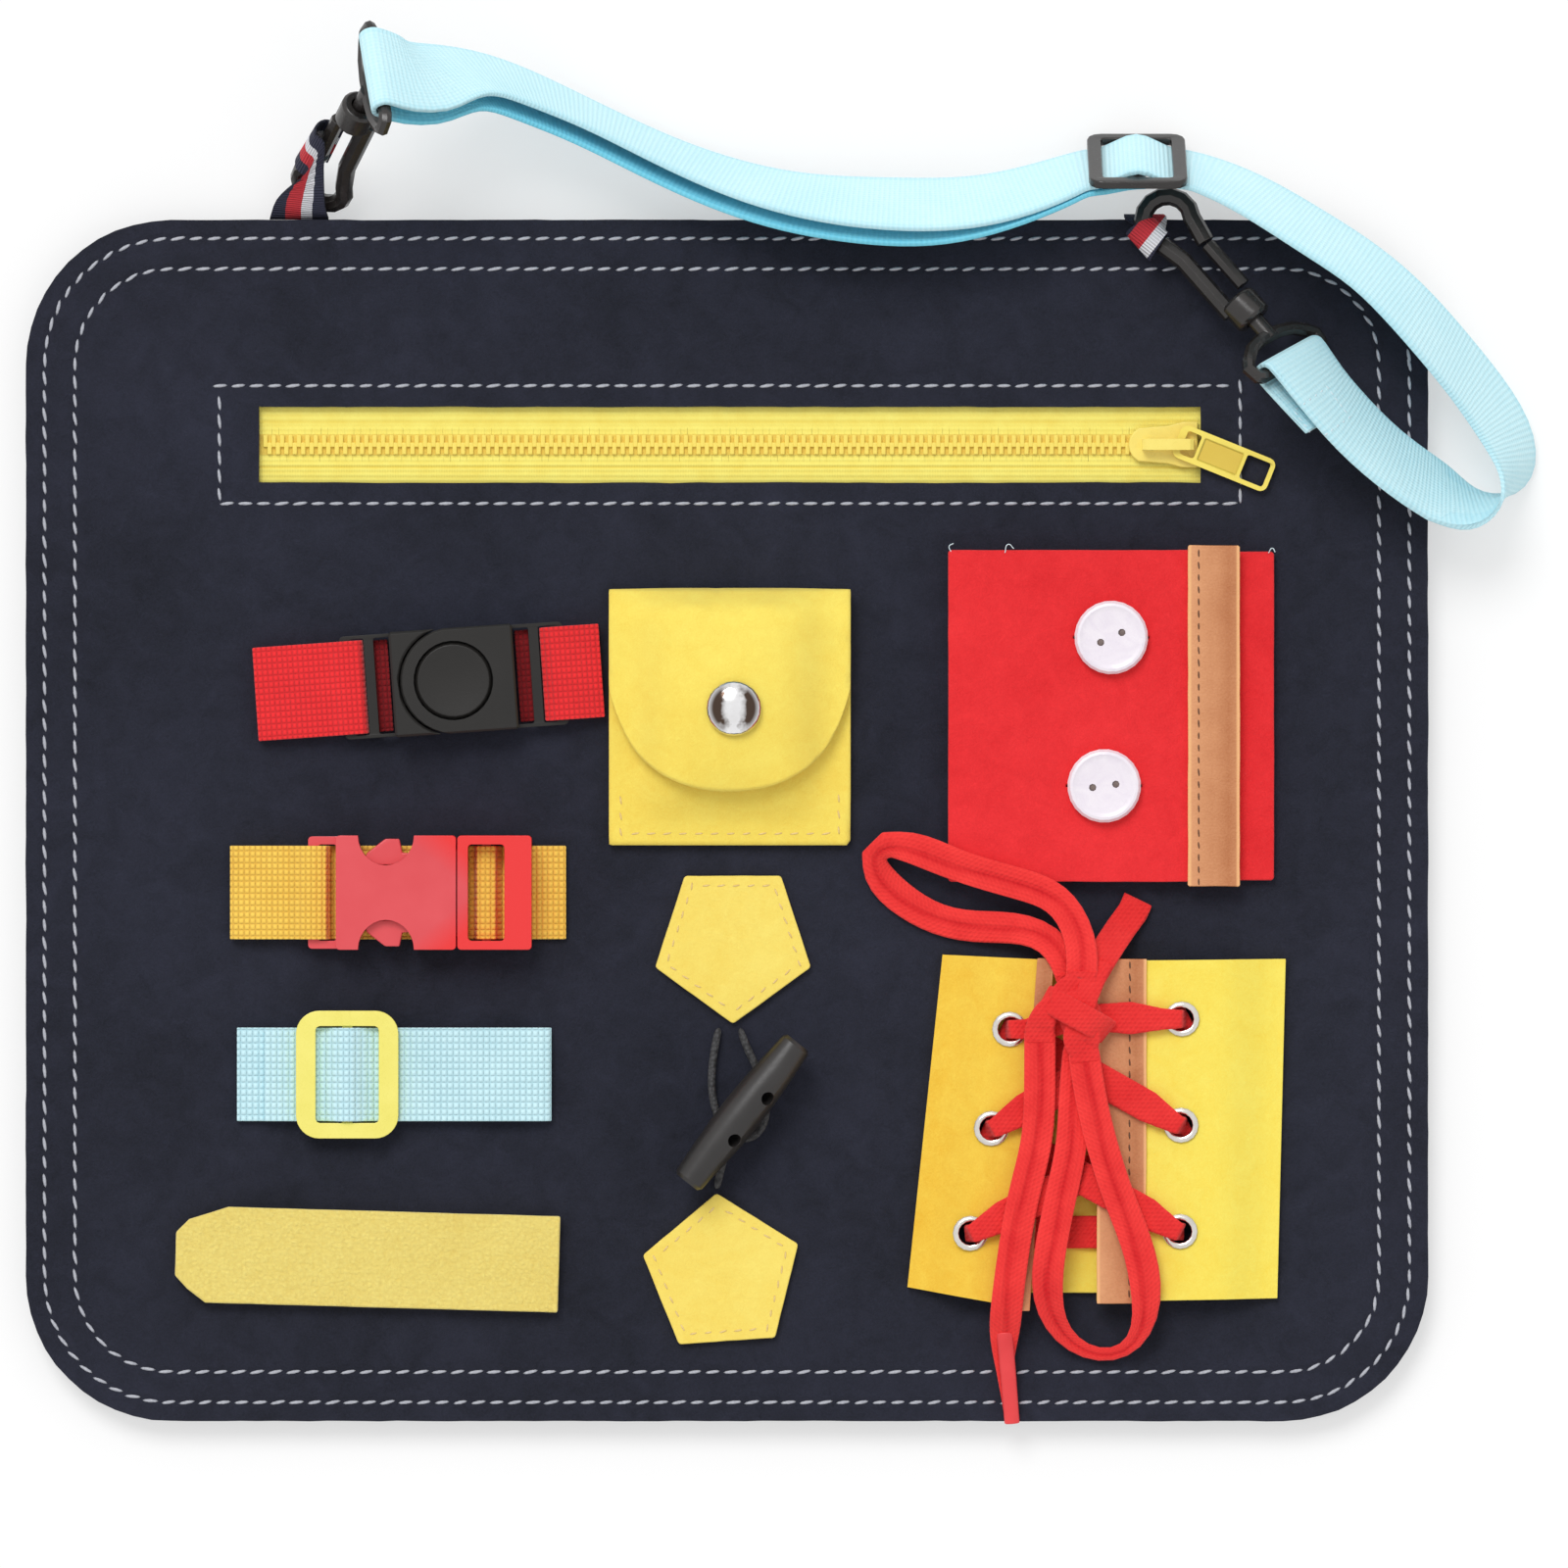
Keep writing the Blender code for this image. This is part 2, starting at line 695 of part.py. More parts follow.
combine(side_buckle_plug,
        box("plug_guide", (-guide_length, -guide_width / 2, socket_middle - inside),
            (-neck_length + neck_overlap, guide_width / 2, socket_middle + inside),
            parent=squeeze_frame), "UNION")
arm_low = socket_middle - arm_height / 2
arm_high = socket_middle + arm_height / 2
for label, side in (("upper", 1), ("lower", -1)):
    seat_hole = cylinder("arm_seat_" + label, arm_root + gap, arm_low - overrun, arm_high + overrun,
                         (-arm_pivot, side * arm_place), parent=squeeze_frame)
    combine(side_buckle_plug, seat_hole)
    seat_mouth = box("arm_mouth_" + label,
                     (-neck_length - overrun, side * arm_place - arm_width / 2 - gap,
                      socket_middle - mouth_height),
                     (-arm_pivot, side * arm_place + arm_width / 2 + 3 * gap,
                      socket_middle + mouth_height), parent=squeeze_frame)
    combine(side_buckle_plug, seat_mouth)
    arm_axis = empty("arm_axis_" + label, (-arm_pivot, side * arm_place, 0), parent=squeeze_frame)
    half_arm = arm_width / 2
    reach = arm_reach - arm_pivot
    outline = arc((0, 0), arm_root, -60, 60, 6)
    outline += [
        (-arm_root, half_arm),
        (-reach + arm_head, half_arm),
        (-reach + arm_head - half_arm / 2, half_arm + arm_bulge),
        (-reach + arm_head * 0.55, half_arm + arm_bulge),
        (-reach + half_arm / 2, half_arm),
        (-reach, 0),
        (-reach + half_arm / 2, -half_arm),
        (-arm_root, -half_arm),
    ]
    arm = plate("side_buckle_arm_" + label, [[(x, side * y) for x, y in outline]],
                arm_low, arm_high, plastic_red, arm_axis)

socket_bar_middle = socket_length - socket_bar / 2
over_socket_bar = socket_bar_top + gap + webbing / 2
second_layer = webbing_low + webbing + gap
yellow_left_side = [
    (-gap, webbing_low),
    (-socket_length, webbing_low),
    (-yellow_left_reach, webbing_low),
    (-yellow_left_reach - webbing, (webbing_low + second_layer) / 2),
    (-yellow_left_reach, second_layer),
    (-socket_length - 3 * webbing, second_layer),
    (-socket_length - webbing, over_socket_bar - webbing / 4),
    (-socket_bar_middle, over_socket_bar),
    (body_left - socket_slot + webbing, over_socket_bar - webbing / 4),
    (body_left - socket_slot / 2, socket_bar_top - webbing / 2),
    (body_left - socket_slot / 2, second_layer - webbing / 4),
]
strip("yellow_webbing_left", yellow_left_side, webbing_width, webbing, yellow_webbing, squeeze_frame)
over_plug_bar = socket_bottom + bar_thick + gap + webbing / 2
yellow_right_side = [
    (yellow_right_reach, webbing_low),
    (plug_bar_middle + plug_bar + webbing, webbing_low),
    (plug_bar_middle + plug_bar, second_layer),
    (plug_bar_middle + plug_bar / 2 + webbing / 2, over_plug_bar - webbing / 3),
    (plug_bar_middle, over_plug_bar),
    (plug_bar_middle - plug_bar / 2 - webbing / 2, over_plug_bar - webbing / 3),
    (plug_bar_middle - plug_bar, second_layer),
    (plug_bar_middle - plug_bar - webbing / 2, webbing_low),
    (gap, webbing_low),
]
strip("yellow_webbing_right", yellow_right_side, webbing_width, webbing, yellow_webbing, squeeze_frame)

# Slide on blue webbing: a flat ring with a centre bar, threaded on the upper layer

blue_webbing = paint("blue_webbing", (184, 224, 234), 0.85)
slide_yellow = paint("slide_yellow", (238, 230, 112), 0.35)
blue_y = -0.0543
blue_left = -0.1048
blue_right = -0.0386
blue_second = 0.0059
slide_x = -0.08115
slide_length = 0.0219
slide_width = 0.0273
slide_corner = 0.005
slide_side = 0.0042
slide_rim = 0.0033
slide_bar = 0.0022
slide_thick = 0.0018
slide_low_bar = 0.0012

blue_frame = empty("blue_frame", (slide_x, blue_y, 0))
layer_low = webbing_low
layer_high = webbing_low + webbing + gap
slide_bottom = layer_high + webbing / 2 + gap
slide_top = slide_bottom + slide_thick
slide_window = slide_length - 2 * slide_side
webbing_slide = plate(
    "webbing_slide",
    [rounded(slide_length, slide_width, slide_corner),
     rounded(slide_window, slide_width - 2 * slide_rim, slide_rim / 4, steps=2)],
    slide_bottom, slide_top, slide_yellow, blue_frame)
soften(webbing_slide, slide_thick / 4, 1)
combine(webbing_slide,
        box("slide_bar", (-slide_bar / 2, -slide_width / 2 + slide_rim / 2, slide_bottom + ledge),
            (slide_bar / 2, slide_width / 2 - slide_rim / 2, slide_bottom + slide_low_bar),
            parent=blue_frame), "UNION")
over_slide_bar = slide_bottom + slide_low_bar + gap + webbing / 2
side_start = slide_window / 2
blue_side = [
    (blue_left - slide_x + blue_second, layer_high),
    (-side_start - webbing / 3, layer_high),
    (-side_start * 0.62, layer_high + webbing / 2),
    (-slide_bar / 2 - webbing / 2, over_slide_bar - webbing / 3),
    (-slide_bar / 4, over_slide_bar),
    (slide_bar / 4, over_slide_bar),
    (slide_bar / 2 + webbing / 2, over_slide_bar - webbing / 3),
    (side_start * 0.62, layer_high + webbing / 2),
    (side_start + webbing / 3, layer_high),
    (blue_right - slide_x - webbing, layer_high),
    (blue_right - slide_x, (layer_low + layer_high) / 2),
    (blue_right - slide_x - webbing, layer_low),
    (blue_left - slide_x, layer_low),
]
strip("blue_webbing", blue_side, webbing_width, webbing, blue_webbing, blue_frame)

# Hook-and-loop strap: a hooked strip sewn to the board and a loop strip that peels off it

strap_right = -0.0359
strap_y = -0.0949
strap_turn = -1.6
strap_length = 0.0820
strap_width = 0.0206
strap_corner = 0.0055
strap_end_flat = 0.0093
hook_felt = 0.0015
loop_felt = 0.0013

strap_frame = empty("strap_frame", (strap_right, strap_y, 0),
                    Matrix.Rotation(math.radians(strap_turn), 4, "Z"))


def strap_outline(length, width):
    """The strap from above, with a blunt pointed end on the left."""
    half, flat = width / 2, strap_end_flat / 2
    return [
        (0, -half),
        (0, half),
        (-length + strap_corner * 2, half),
        (-length + strap_corner / 2, half - (half - flat) / 2),
        (-length, flat),
        (-length, -flat),
        (-length + strap_corner / 2, -half + (half - flat) / 2),
        (-length + strap_corner * 1.2, -half),
    ]


hook_top = seat + hook_felt
plate("hook_strip", [strap_outline(strap_length - gap, strap_width - 2 * gap)], seat, hook_top,
      paint("hook_strip", (236, 208, 96), 0.9), strap_frame)
loop_axis = empty("loop_axis", (0, 0, hook_top + gap + loop_felt), parent=strap_frame)
plate("loop_flap", [strap_outline(strap_length, strap_width)], -loop_felt, 0,
      paint("loop_flap", (240, 214, 112), 0.9), loop_axis)

# Snap pocket: a felt pouch sewn on three sides, under a flap with a press stud

pocket_felt_colour = paint("pocket_felt", (248, 221, 104), 0.9)
chrome = paint("polished_metal", (205, 205, 208), 0.15, 1.0)
pocket_x = 0.0006
pocket_width = 0.0517
pocket_top_y = 0.0490
pocket_bottom_y = -0.0053
pouch_mouth_drop = 0.0052
pouch_room = 0.0046
pouch_hem = 0.0040
pouch_slope = 0.0100
flap_bottom_y = 0.0063
flap_square = 0.014
flap_lift = 0.0022
slope_share = 1.35
snap_y = 0.0240
snap_drop = 0.0009
snap_radius = 0.0060
snap_dome = 0.0026
snap_post = 0.0012
socket_radius = 0.0048
socket_bore = 0.0023
socket_deep = 0.0012
stud_radius = 0.0018
stud_neck = 0.0014
stud_base = 0.0005
stud_height = 0.0013

pouch_top_y = pocket_top_y - pouch_mouth_drop
pouch_length = pouch_top_y - pocket_bottom_y
pouch_mid = seat + patch_felt / 2


def ease(share):
    """Rises from 0 to 1 with level ends."""
    share = min(1.0, max(0.0, share))
    return share * share * (3 - 2 * share)


def pouch_height(x, y):
    """The middle of the pouch felt: flat at its sewn hem, raised inside and at its mouth."""
    from_side = pocket_width / 2 - abs(x - pocket_x) - pouch_hem
    from_bottom = y - pocket_bottom_y - pouch_hem
    rise = ease(from_side / pouch_slope) * ease(from_bottom / pouch_slope)
    return pouch_mid + pouch_room * rise


def flap_height(x, y):
    """The middle of the flap felt: clear of the pouch, and raised over the press stud."""
    away = math.hypot(x - pocket_x, y - snap_y) / (pocket_width * 0.42)
    over = flap_lift * (1 - ease(away))
    height = pouch_height(x, y) + patch_felt * slope_share + gap * 1.5 + over
    root = ease((pocket_top_y - y) / (pocket_top_y - pocket_bottom_y - pouch_length - ledge))
    return seat + patch_felt / 2 + (height - seat - patch_felt / 2) * root


def pouch_place(along, across):
    x = pocket_x + (across - 0.5) * pocket_width
    y = pocket_bottom_y + along * pouch_length
    return Vector((x, y, pouch_height(x, y)))


sheet("pocket_pouch", 10, 16, pouch_place, patch_felt, pocket_felt_colour)

flap_axis_z = flap_height(pocket_x, pocket_top_y) + patch_felt / 2
flap_axis = empty("flap_axis", (pocket_x, pocket_top_y, flap_axis_z))
flap_length = pocket_top_y - flap_bottom_y


def flap_place(along, across):
    """The flap from above: straight sides, then a wide round end."""
    swing = (across - 0.5) * 2
    half = pocket_width / 2
    round_length = flap_length - flap_square
    end = flap_square + round_length * math.sqrt(max(0.0, 1 - (abs(swing) * 0.97) ** 2.4))
    y = pocket_top_y - along * end
    x = pocket_x + swing * half
    return Vector((x, y, flap_height(x, y))) - Vector((pocket_x, pocket_top_y, flap_axis_z))


pocket_flap = sheet("pocket_flap", 10, 14, flap_place, patch_felt, pocket_felt_colour, flap_axis)
snap_flap_top = flap_height(pocket_x, snap_y) + patch_felt / 2
snap_flap_bottom = snap_flap_top - patch_felt
snap_pouch_top = pouch_height(pocket_x, snap_y) + patch_felt / 2
combine(pocket_flap,
        cylinder("snap_hole", snap_post + gap, snap_flap_bottom - overrun, snap_flap_top + overrun,
                 (pocket_x + snap_drop, snap_y), sides=16))
cap_base = snap_flap_top + gap
socket_rim = pocket_x + snap_drop + socket_radius
socket_base = flap_height(socket_rim, snap_y) - patch_felt / 2 - 2 * gap
socket_mouth = snap_pouch_top + stud_base + 2 * gap
cap_profile = [(0, cap_base + snap_dome)]
cap_profile += [
    (snap_radius * math.sin(math.radians(turn)), cap_base + snap_dome * math.cos(math.radians(turn)))
    for turn in range(15, 90, 15)
]
cap_profile += [
    (snap_radius, cap_base),
    (snap_post, cap_base),
    (snap_post, socket_base),
    (socket_radius, socket_base),
    (socket_radius, socket_mouth),
    (socket_bore, socket_mouth),
    (socket_bore, socket_mouth + socket_deep * 0.8),
    (0, socket_mouth + socket_deep),
]
snap_place = Matrix.Translation((snap_drop, snap_y - pocket_top_y, -flap_axis_z))
turned("snap_cap", cap_profile, chrome, flap_axis, snap_place, 24)
stud_low = snap_pouch_top + gap
stud_profile = [
    (0, stud_low + stud_base + stud_height * 0.85),
    (stud_radius * 0.8, stud_low + stud_base + stud_height * 0.8),
    (stud_radius, stud_low + stud_base + stud_height / 2),
    (stud_neck, stud_low + stud_base),
    (socket_radius, stud_low + stud_base),
    (socket_radius, stud_low),
    (0, stud_low),
]
turned("snap_stud", stud_profile, chrome,
       matrix=Matrix.Translation((pocket_x + snap_drop, snap_y, 0)), sides=20)

# Toggle: a wooden-style bar through a cord loop, between two five-sided patches

patch_yellow = paint("patch_yellow", (248, 222, 108), 0.85)
cord_black = paint("cord_black", (34, 33, 36), 0.9)
patch_side = 0.0206
patch_round = 0.0008
upper_patch = (0.0013, -0.0260)
lower_patch = (-0.0010, -0.0972)
lower_patch_turn = 4
toggle_place = (0.0033, -0.0623)
toggle_turn = 51.6
toggle_length = 0.038
toggle_radius = 0.0045
toggle_hole = 0.0015
toggle_hole_spacing = 0.0114
toggle_cord = 0.0009
cord_spacing = 0.0032

patch_radius = patch_side / (2 * math.sin(math.radians(36)))


def pentagon(name, centre, turn):
    """A five-sided felt patch with its corners just rounded."""
    outline = []
    for corner in range(5):
        angle = turn + 72 * corner
        reach = patch_radius - patch_round / math.cos(math.radians(36))
        place = (centre[0] + reach * math.cos(math.radians(angle)),
                 centre[1] + reach * math.sin(math.radians(angle)))
        outline += arc(place, patch_round, angle - 36, angle + 36, 2)
    return plate(name, [outline], seat, seat + trim_felt, patch_yellow)


pentagon("toggle_patch_upper", upper_patch, -90)
pentagon("toggle_patch_lower", lower_patch, 90 + lower_patch_turn)

cord_low = seat + toggle_cord
cord_high = cord_low + 2 * toggle_cord + gap
toggle_z = cord_high + toggle_cord + gap + toggle_radius
apex = Vector((upper_patch[0], upper_patch[1] - patch_radius - gap - toggle_cord / 2, 0))
loop_route = [
    (apex.x - 0.0030, apex.y, cord_low),
    (apex.x - 0.0042, apex.y - 0.0060, cord_low),
    (apex.x - 0.0046, apex.y - 0.0130, cord_low),
    (apex.x - 0.0030, apex.y - 0.0200, cord_low),
    (apex.x + 0.0018, apex.y - 0.0242, cord_low),
    (apex.x + 0.0062, apex.y - 0.0218, cord_low),
    (apex.x + 0.0072, apex.y - 0.0160, cord_low),
    (apex.x + 0.0052, apex.y - 0.0090, cord_low),
    (apex.x + 0.0028, apex.y - 0.0040, cord_low),
    (apex.x + 0.0014, apex.y, cord_low),
]
tube("toggle_loop_cord", smooth_path(loop_route, cord_spacing), toggle_cord, cord_black)
tip = Vector((lower_patch[0] - patch_radius * math.sin(math.radians(lower_patch_turn)),
              lower_patch[1] + patch_radius + gap + toggle_cord / 2, 0))
stem_route = [
    (tip.x, tip.y, cord_low),
    (tip.x + 0.0006, tip.y + 0.0030, cord_low + 0.0003),
    (tip.x + 0.0014, tip.y + 0.0060, cord_high - 0.0003),
    (tip.x + 0.0024, tip.y + 0.0095, cord_high),
    (tip.x + 0.0036, tip.y + 0.0130, cord_high),
    (tip.x + 0.0046, tip.y + 0.0160, cord_high),
]
tube("toggle_stem_cord", smooth_path(stem_route, cord_spacing), toggle_cord, cord_black)

toggle_axis = empty("toggle_axis", (*toggle_place, toggle_z),
                    Matrix.Rotation(math.radians(toggle_turn), 4, "Z"))
half_toggle = toggle_length / 2
toggle_profile = [(0, half_toggle)]
toggle_profile += [
    (toggle_radius * wide, half_toggle * high)
    for wide, high in ((0.62, 1.0), (0.76, 0.96), (0.88, 0.62), (0.97, 0.28), (1.0, 0.0),
                       (0.97, -0.28), (0.88, -0.62), (0.76, -0.96), (0.62, -1.0))
]
toggle_profile += [(0, -half_toggle)]
toggle_bar = turned("toggle_bar", toggle_profile, paint("toggle_black", (38, 37, 40), 0.45),
                    toggle_axis, Matrix.Rotation(math.radians(90), 4, "Y"), 16)
for label, side in (("upper", 1), ("lower", -1)):
    bore = cylinder("toggle_bore_" + label, toggle_hole, -toggle_radius * 2, toggle_radius * 2,
                    sides=16, parent=toggle_axis)
    bore.matrix_local = (Matrix.Translation((side * toggle_hole_spacing / 2, 0, 0))
                         @ Matrix.Rotation(math.radians(35), 4, "X"))
    combine(toggle_bar, bore)

# Button panel: an under flap with two sewn buttons, and an over flap with buttonholes and an edging

felt_red = paint("felt_red", (219, 42, 48), 0.9)
tan = paint("tan_edging", (206, 138, 92), 0.6)
panel_left = 0.0473
panel_right = 0.1170
panel_top = 0.0578
panel_bottom = -0.0131
panel_corner = 0.0006
edging_left = 0.0985
edging_right = 0.1096
edging_over = 0.0010
edging = 0.0008
button_size = 0.01575
button_wall = 0.0026
button_lip = 0.0011
button_holes = 0.0050
button_hole = 0.0008
button_places = (("upper", 0.0821, 0.0391, 25), ("lower", 0.0806, 0.0074, 8))
hole_slit = 0.0012
button_shank = 0.0010
under_left = 0.0016

under_top = seat + patch_felt
panel_height = panel_top - panel_bottom
panel_middle_y = (panel_top + panel_bottom) / 2
plate("button_flap_under",
      [rounded(panel_right - panel_left - under_left, panel_height - 2 * gap, panel_corner,
               ((panel_right + panel_left + under_left) / 2, panel_middle_y), 2)],
      seat, under_top, felt_red)
over_bottom = under_top + gap
over_top = over_bottom + patch_felt
panel_axis = empty("panel_axis", (panel_left, panel_middle_y, over_top))
over_length = edging_right - edging_over - panel_left
button_flap_over = plate(
    "button_flap_over",
    [rounded(over_length, panel_height, panel_corner, (over_length / 2, 0), 2)],
    -patch_felt, 0, felt_red, panel_axis)
for label, x, y, turn in button_places:
    combine(button_flap_over,
            box("buttonhole_" + label,
                (x - button_size / 2 - hole_slit, y - hole_slit, over_bottom - overrun),
                (x + button_size / 2 + hole_slit, y + hole_slit, over_top + overrun)))
edging_height = panel_height + 2 * edging_over
edging_bottom = gap
button_flap_binding = plate(
    "button_flap_binding",
    [rounded(edging_right - edging_left, edging_height, edging / 2,
             ((edging_right + edging_left) / 2 - panel_left, 0), 2)],
    edging_bottom, edging_bottom + edging, tan, panel_axis)

button_white = paint("button_white", (232, 224, 232), 0.25)
button_low = over_top + gap
for label, x, y, turn in button_places:
    half_button = button_size / 2
    profile = [
        (0, button_wall - button_lip / 2),
        (half_button - button_lip * 2, button_wall - button_lip / 2),
        (half_button - button_lip, button_wall),
        (half_button - button_lip / 2, button_wall - button_lip / 8),
        (half_button, button_wall - button_lip),
        (half_button - button_lip / 2, button_lip / 4),
        (half_button - button_lip * 2, 0),
        (button_shank, 0),
        (button_shank, under_top + gap - button_low),
        (0, under_top + gap - button_low),
    ]
    button_frame = empty(label + "_button_axis", (x, y, button_low),
                         Matrix.Rotation(math.radians(turn), 4, "Z"))
    made = turned(label + "_button", profile, button_white, button_frame, sides=24)
    for end in (1, -1):
        combine(made, cylinder(label + "_thread_hole_" + str(end), button_hole, button_wall / 3,
                               button_wall + overrun, (end * button_holes / 2, 0),
                               parent=button_frame, sides=8))

# Lacing panel: a tongue under two flaps that are sewn at their outer edges, with six eyelets

felt_yellow = paint("felt_yellow", (250, 228, 100), 0.9)
tongue_left_x = 0.0560
tongue_right_x = 0.0940
tongue_top_y = -0.0300
tongue_bottom_y = -0.1010
lace_room = 0.0024
lacing_felt = 0.0015
flap_slope = 0.0125
right_flap = ((0.0792, -0.0300), (0.0790, -0.1028), (0.1177, -0.1022), (0.1195, -0.0296))
left_flap = ((0.0699, -0.0298), (0.0647, -0.1044), (0.0386, -0.0998), (0.0461, -0.0287))
right_eyelets = ((0.0972, -0.0424), (0.0970, -0.0651), (0.0968, -0.0878))
left_eyelets = ((0.0604, -0.0446), (0.0565, -0.0658), (0.0520, -0.0882))
right_binding_width = 0.0105
left_binding_width = 0.0036
binding = 0.0005
binding_step = 0.0004
eyelet_radius = 0.00375
eyelet_hole = 0.0025
eyelet_barrel = 0.0029
eyelet_flange = 0.0005

tongue_top_z = seat + trim_felt
plate("lacing_tongue",
      [rounded(tongue_right_x - tongue_left_x, tongue_top_y - tongue_bottom_y, panel_corner,
               ((tongue_right_x + tongue_left_x) / 2, (tongue_top_y + tongue_bottom_y) / 2), 2)],
      seat, tongue_top_z, felt_yellow)
sewn_mid = seat + lacing_felt / 2
raised_mid = tongue_top_z + lace_room + lacing_felt / 2


def on_flap(corners, along, across):
    """A place on a flap: across runs from the gap to the sewn edge, along from top to bottom."""
    inner_top, inner_bottom, outer_bottom, outer_top = (Vector(corner) for corner in corners)
    inner = inner_top.lerp(inner_bottom, along)
    outer = outer_top.lerp(outer_bottom, along)
    return inner.lerp(outer, across), (outer - inner).length


def flap_surface(corners, along, across):
    """The middle of a lacing flap, which slopes down to its sewn outer edge."""
    place, width = on_flap(corners, along, across)
    from_seam = (1 - across) * width
    height = sewn_mid + (raised_mid - sewn_mid) * ease((from_seam - trim_felt) / flap_slope)
    return Vector((place.x, place.y, height))


for label, corners, eyelets in (("left", left_flap, left_eyelets), ("right", right_flap, right_eyelets)):

    def lay_flap(along, across, corners=corners):
        return flap_surface(corners, along, across)

    lacing_flap = sheet("lacing_flap_" + label, 4, 16, lay_flap, lacing_felt, felt_yellow)
    for row, (x, y) in enumerate(eyelets):
        combine(lacing_flap,
                cylinder(label + "_eyelet_hole_" + str(row), eyelet_barrel + gap,
                         sewn_mid - overrun, raised_mid + overrun, (x, y), sides=12))

raised_top = raised_mid + lacing_felt / 2
raised_bottom = raised_mid - lacing_felt / 2
binding_bottom = raised_top + gap
for label, corners, reach in (("left", left_flap, -left_binding_width),
                              ("right", right_flap, right_binding_width)):
    top, bottom = Vector(corners[0]), Vector(corners[1])
    outline = [
        (top.x, top.y + binding_step),
        (bottom.x, bottom.y - binding_step),
        (bottom.x + reach, bottom.y - binding_step),
        (top.x + reach, top.y + binding_step),
    ]
    plate("lacing_binding_" + label, [outline], binding_bottom, binding_bottom + binding, tan)

flange_low = raised_top + gap
flange_top = flange_low + eyelet_flange
barrel_low = raised_bottom
eyelet_profile = [
    (eyelet_hole, flange_top - eyelet_flange / 3),
    (eyelet_hole + (eyelet_radius - eyelet_hole) / 2, flange_top),
    (eyelet_radius, flange_low + eyelet_flange / 3),
    (eyelet_radius, flange_low),
    (eyelet_barrel, flange_low),
    (eyelet_barrel, barrel_low),
    (eyelet_hole, barrel_low),
    (eyelet_hole, flange_top - eyelet_flange / 3),
]
for label, eyelets in (("left", left_eyelets), ("right", right_eyelets)):
    for name, (x, y) in zip(("top", "middle", "bottom"), eyelets):
        turned(label + "_" + name + "_eyelet", eyelet_profile, chrome,
               matrix=Matrix.Translation((x, y, 0)), sides=16)

# Lace: one flat lace, threaded through the eyelets and tied in a bow

lace_red = paint("lace_red", (228, 54, 58), 0.85)
lace_width = 0.0070
lace_pinched = 0.0040
lace_tail_width = 0.0056
lace_tip_width = 0.0024
lace = 0.0012
lace_step = 0.0001
lace_spacing = 0.0050
edge_clearance = 0.0024
knot_x = 0.0755
knot_y = -0.0420
knot_size = (0.0056, 0.0066, 0.0034)

lace_under = tongue_top_z + gap + lace / 2
lace_over = flange_top + gap + lace / 2
knot_z = flange_top + gap + knot_size[2]


def crossing(start, end):
    """Lace that comes up one eyelet, goes over its own flap and dips under the other one."""
    (x0, y0), (x1, y1) = start, end
    side = 1 if x1 > x0 else -1
    pinch = side * lace_pinched / 8

    def on_line(x, height):
        return Vector((x, y0 + (y1 - y0) * (x - x0) / (x1 - x0), height))

    middle_y = (y0 + y1) / 2
    down = (left_flap[0][1] - middle_y) / (left_flap[0][1] - left_flap[1][1])
    left_edge = left_flap[0][0] + (left_flap[1][0] - left_flap[0][0]) * down
    middle = (left_edge + right_flap[0][0]) / 2
    reach = (right_flap[0][0] - left_edge) / 2 - edge_clearance
    return [
        Vector((x0 - pinch, y0, lace_under)),
        Vector((x0, y0, (lace_under + lace_over) / 2)),
        Vector((x0 + pinch, y0, lace_over)),
        on_line(x0 + side * lace_width, lace_over),
        on_line(middle - side * reach, lace_over),
        on_line(middle, (lace_under + lace_over) / 2),
        on_line(middle + side * reach, lace_under + lace_step),
        on_line(x1 - side * lace_width, lace_under + lace_step),
        Vector((x1 + side * lace_pinched / 2, y1, lace_under + lace_step)),
    ]


def lace_widths(points, eyelet):
    """Lace is bunched where it passes through an eyelet, and flat a little way from it."""
    bunched = Vector((*eyelet, 0))
    return [
        lace_pinched + (lace_width - lace_pinched)
        * ease(((point - bunched).to_2d().length - lace_pinched / 2) / lace_width)
        for point in points
    ]


def flat_directions(points):
    """Directions across the lace, level all along, also where it climbs through an eyelet."""
    found = []
    for index, point in enumerate(points):
        before = points[max(index - 2, 0)]
        after = points[min(index + 2, len(points) - 1)]
        found.append(Vector((before.y - after.y, after.x - before.x, 0)))
    return found


left_lowest, right_lowest = left_eyelets[2], right_eyelets[2]
bar_ends = [Vector((*eyelet, lace_under - lace_step)) for eyelet in (left_lowest, right_lowest)]
bar_points = [bar_ends[0].lerp(bar_ends[1], share) for share in (-0.02, 0.08, 0.25, 0.75, 0.92, 1.02)]
bar_widths = [lace_pinched, lace_pinched, lace_width, lace_width, lace_pinched, lace_pinched]
lace_crossings = band("lace_crossings", bar_points, bar_widths, lace, lace_red)
runs = []
for row in (2, 1):
    runs.append(("right_run_" + str(row), left_eyelets[row], right_eyelets[row - 1]))
    runs.append(("left_run_" + str(row), right_eyelets[row], left_eyelets[row - 1]))
for name, start, end in runs:
    points = crossing(start, end)
    combine(lace_crossings, band(name, points, lace_widths(points, start), lace,
                                 across=flat_directions(points)), "UNION")
for name, start, side in (("left_knot_run", left_eyelets[0], 1), ("right_knot_run", right_eyelets[0], -1)):
    x, y = start
    points = [
        Vector((x - side * lace_pinched / 8, y, lace_under)),
        Vector((x, y, (lace_under + lace_over) / 2)),
        Vector((x + side * lace_pinched / 8, y, lace_over)),
        Vector((x + side * lace_pinched, y, lace_over)),
        Vector(((x + knot_x) / 2, (y + knot_y) / 2, lace_over + lace_step)),
        Vector((knot_x, knot_y, lace_over + lace)),
    ]
    combine(lace_crossings, band(name, points, lace_widths(points, start), lace,
                                 across=flat_directions(points)), "UNION")
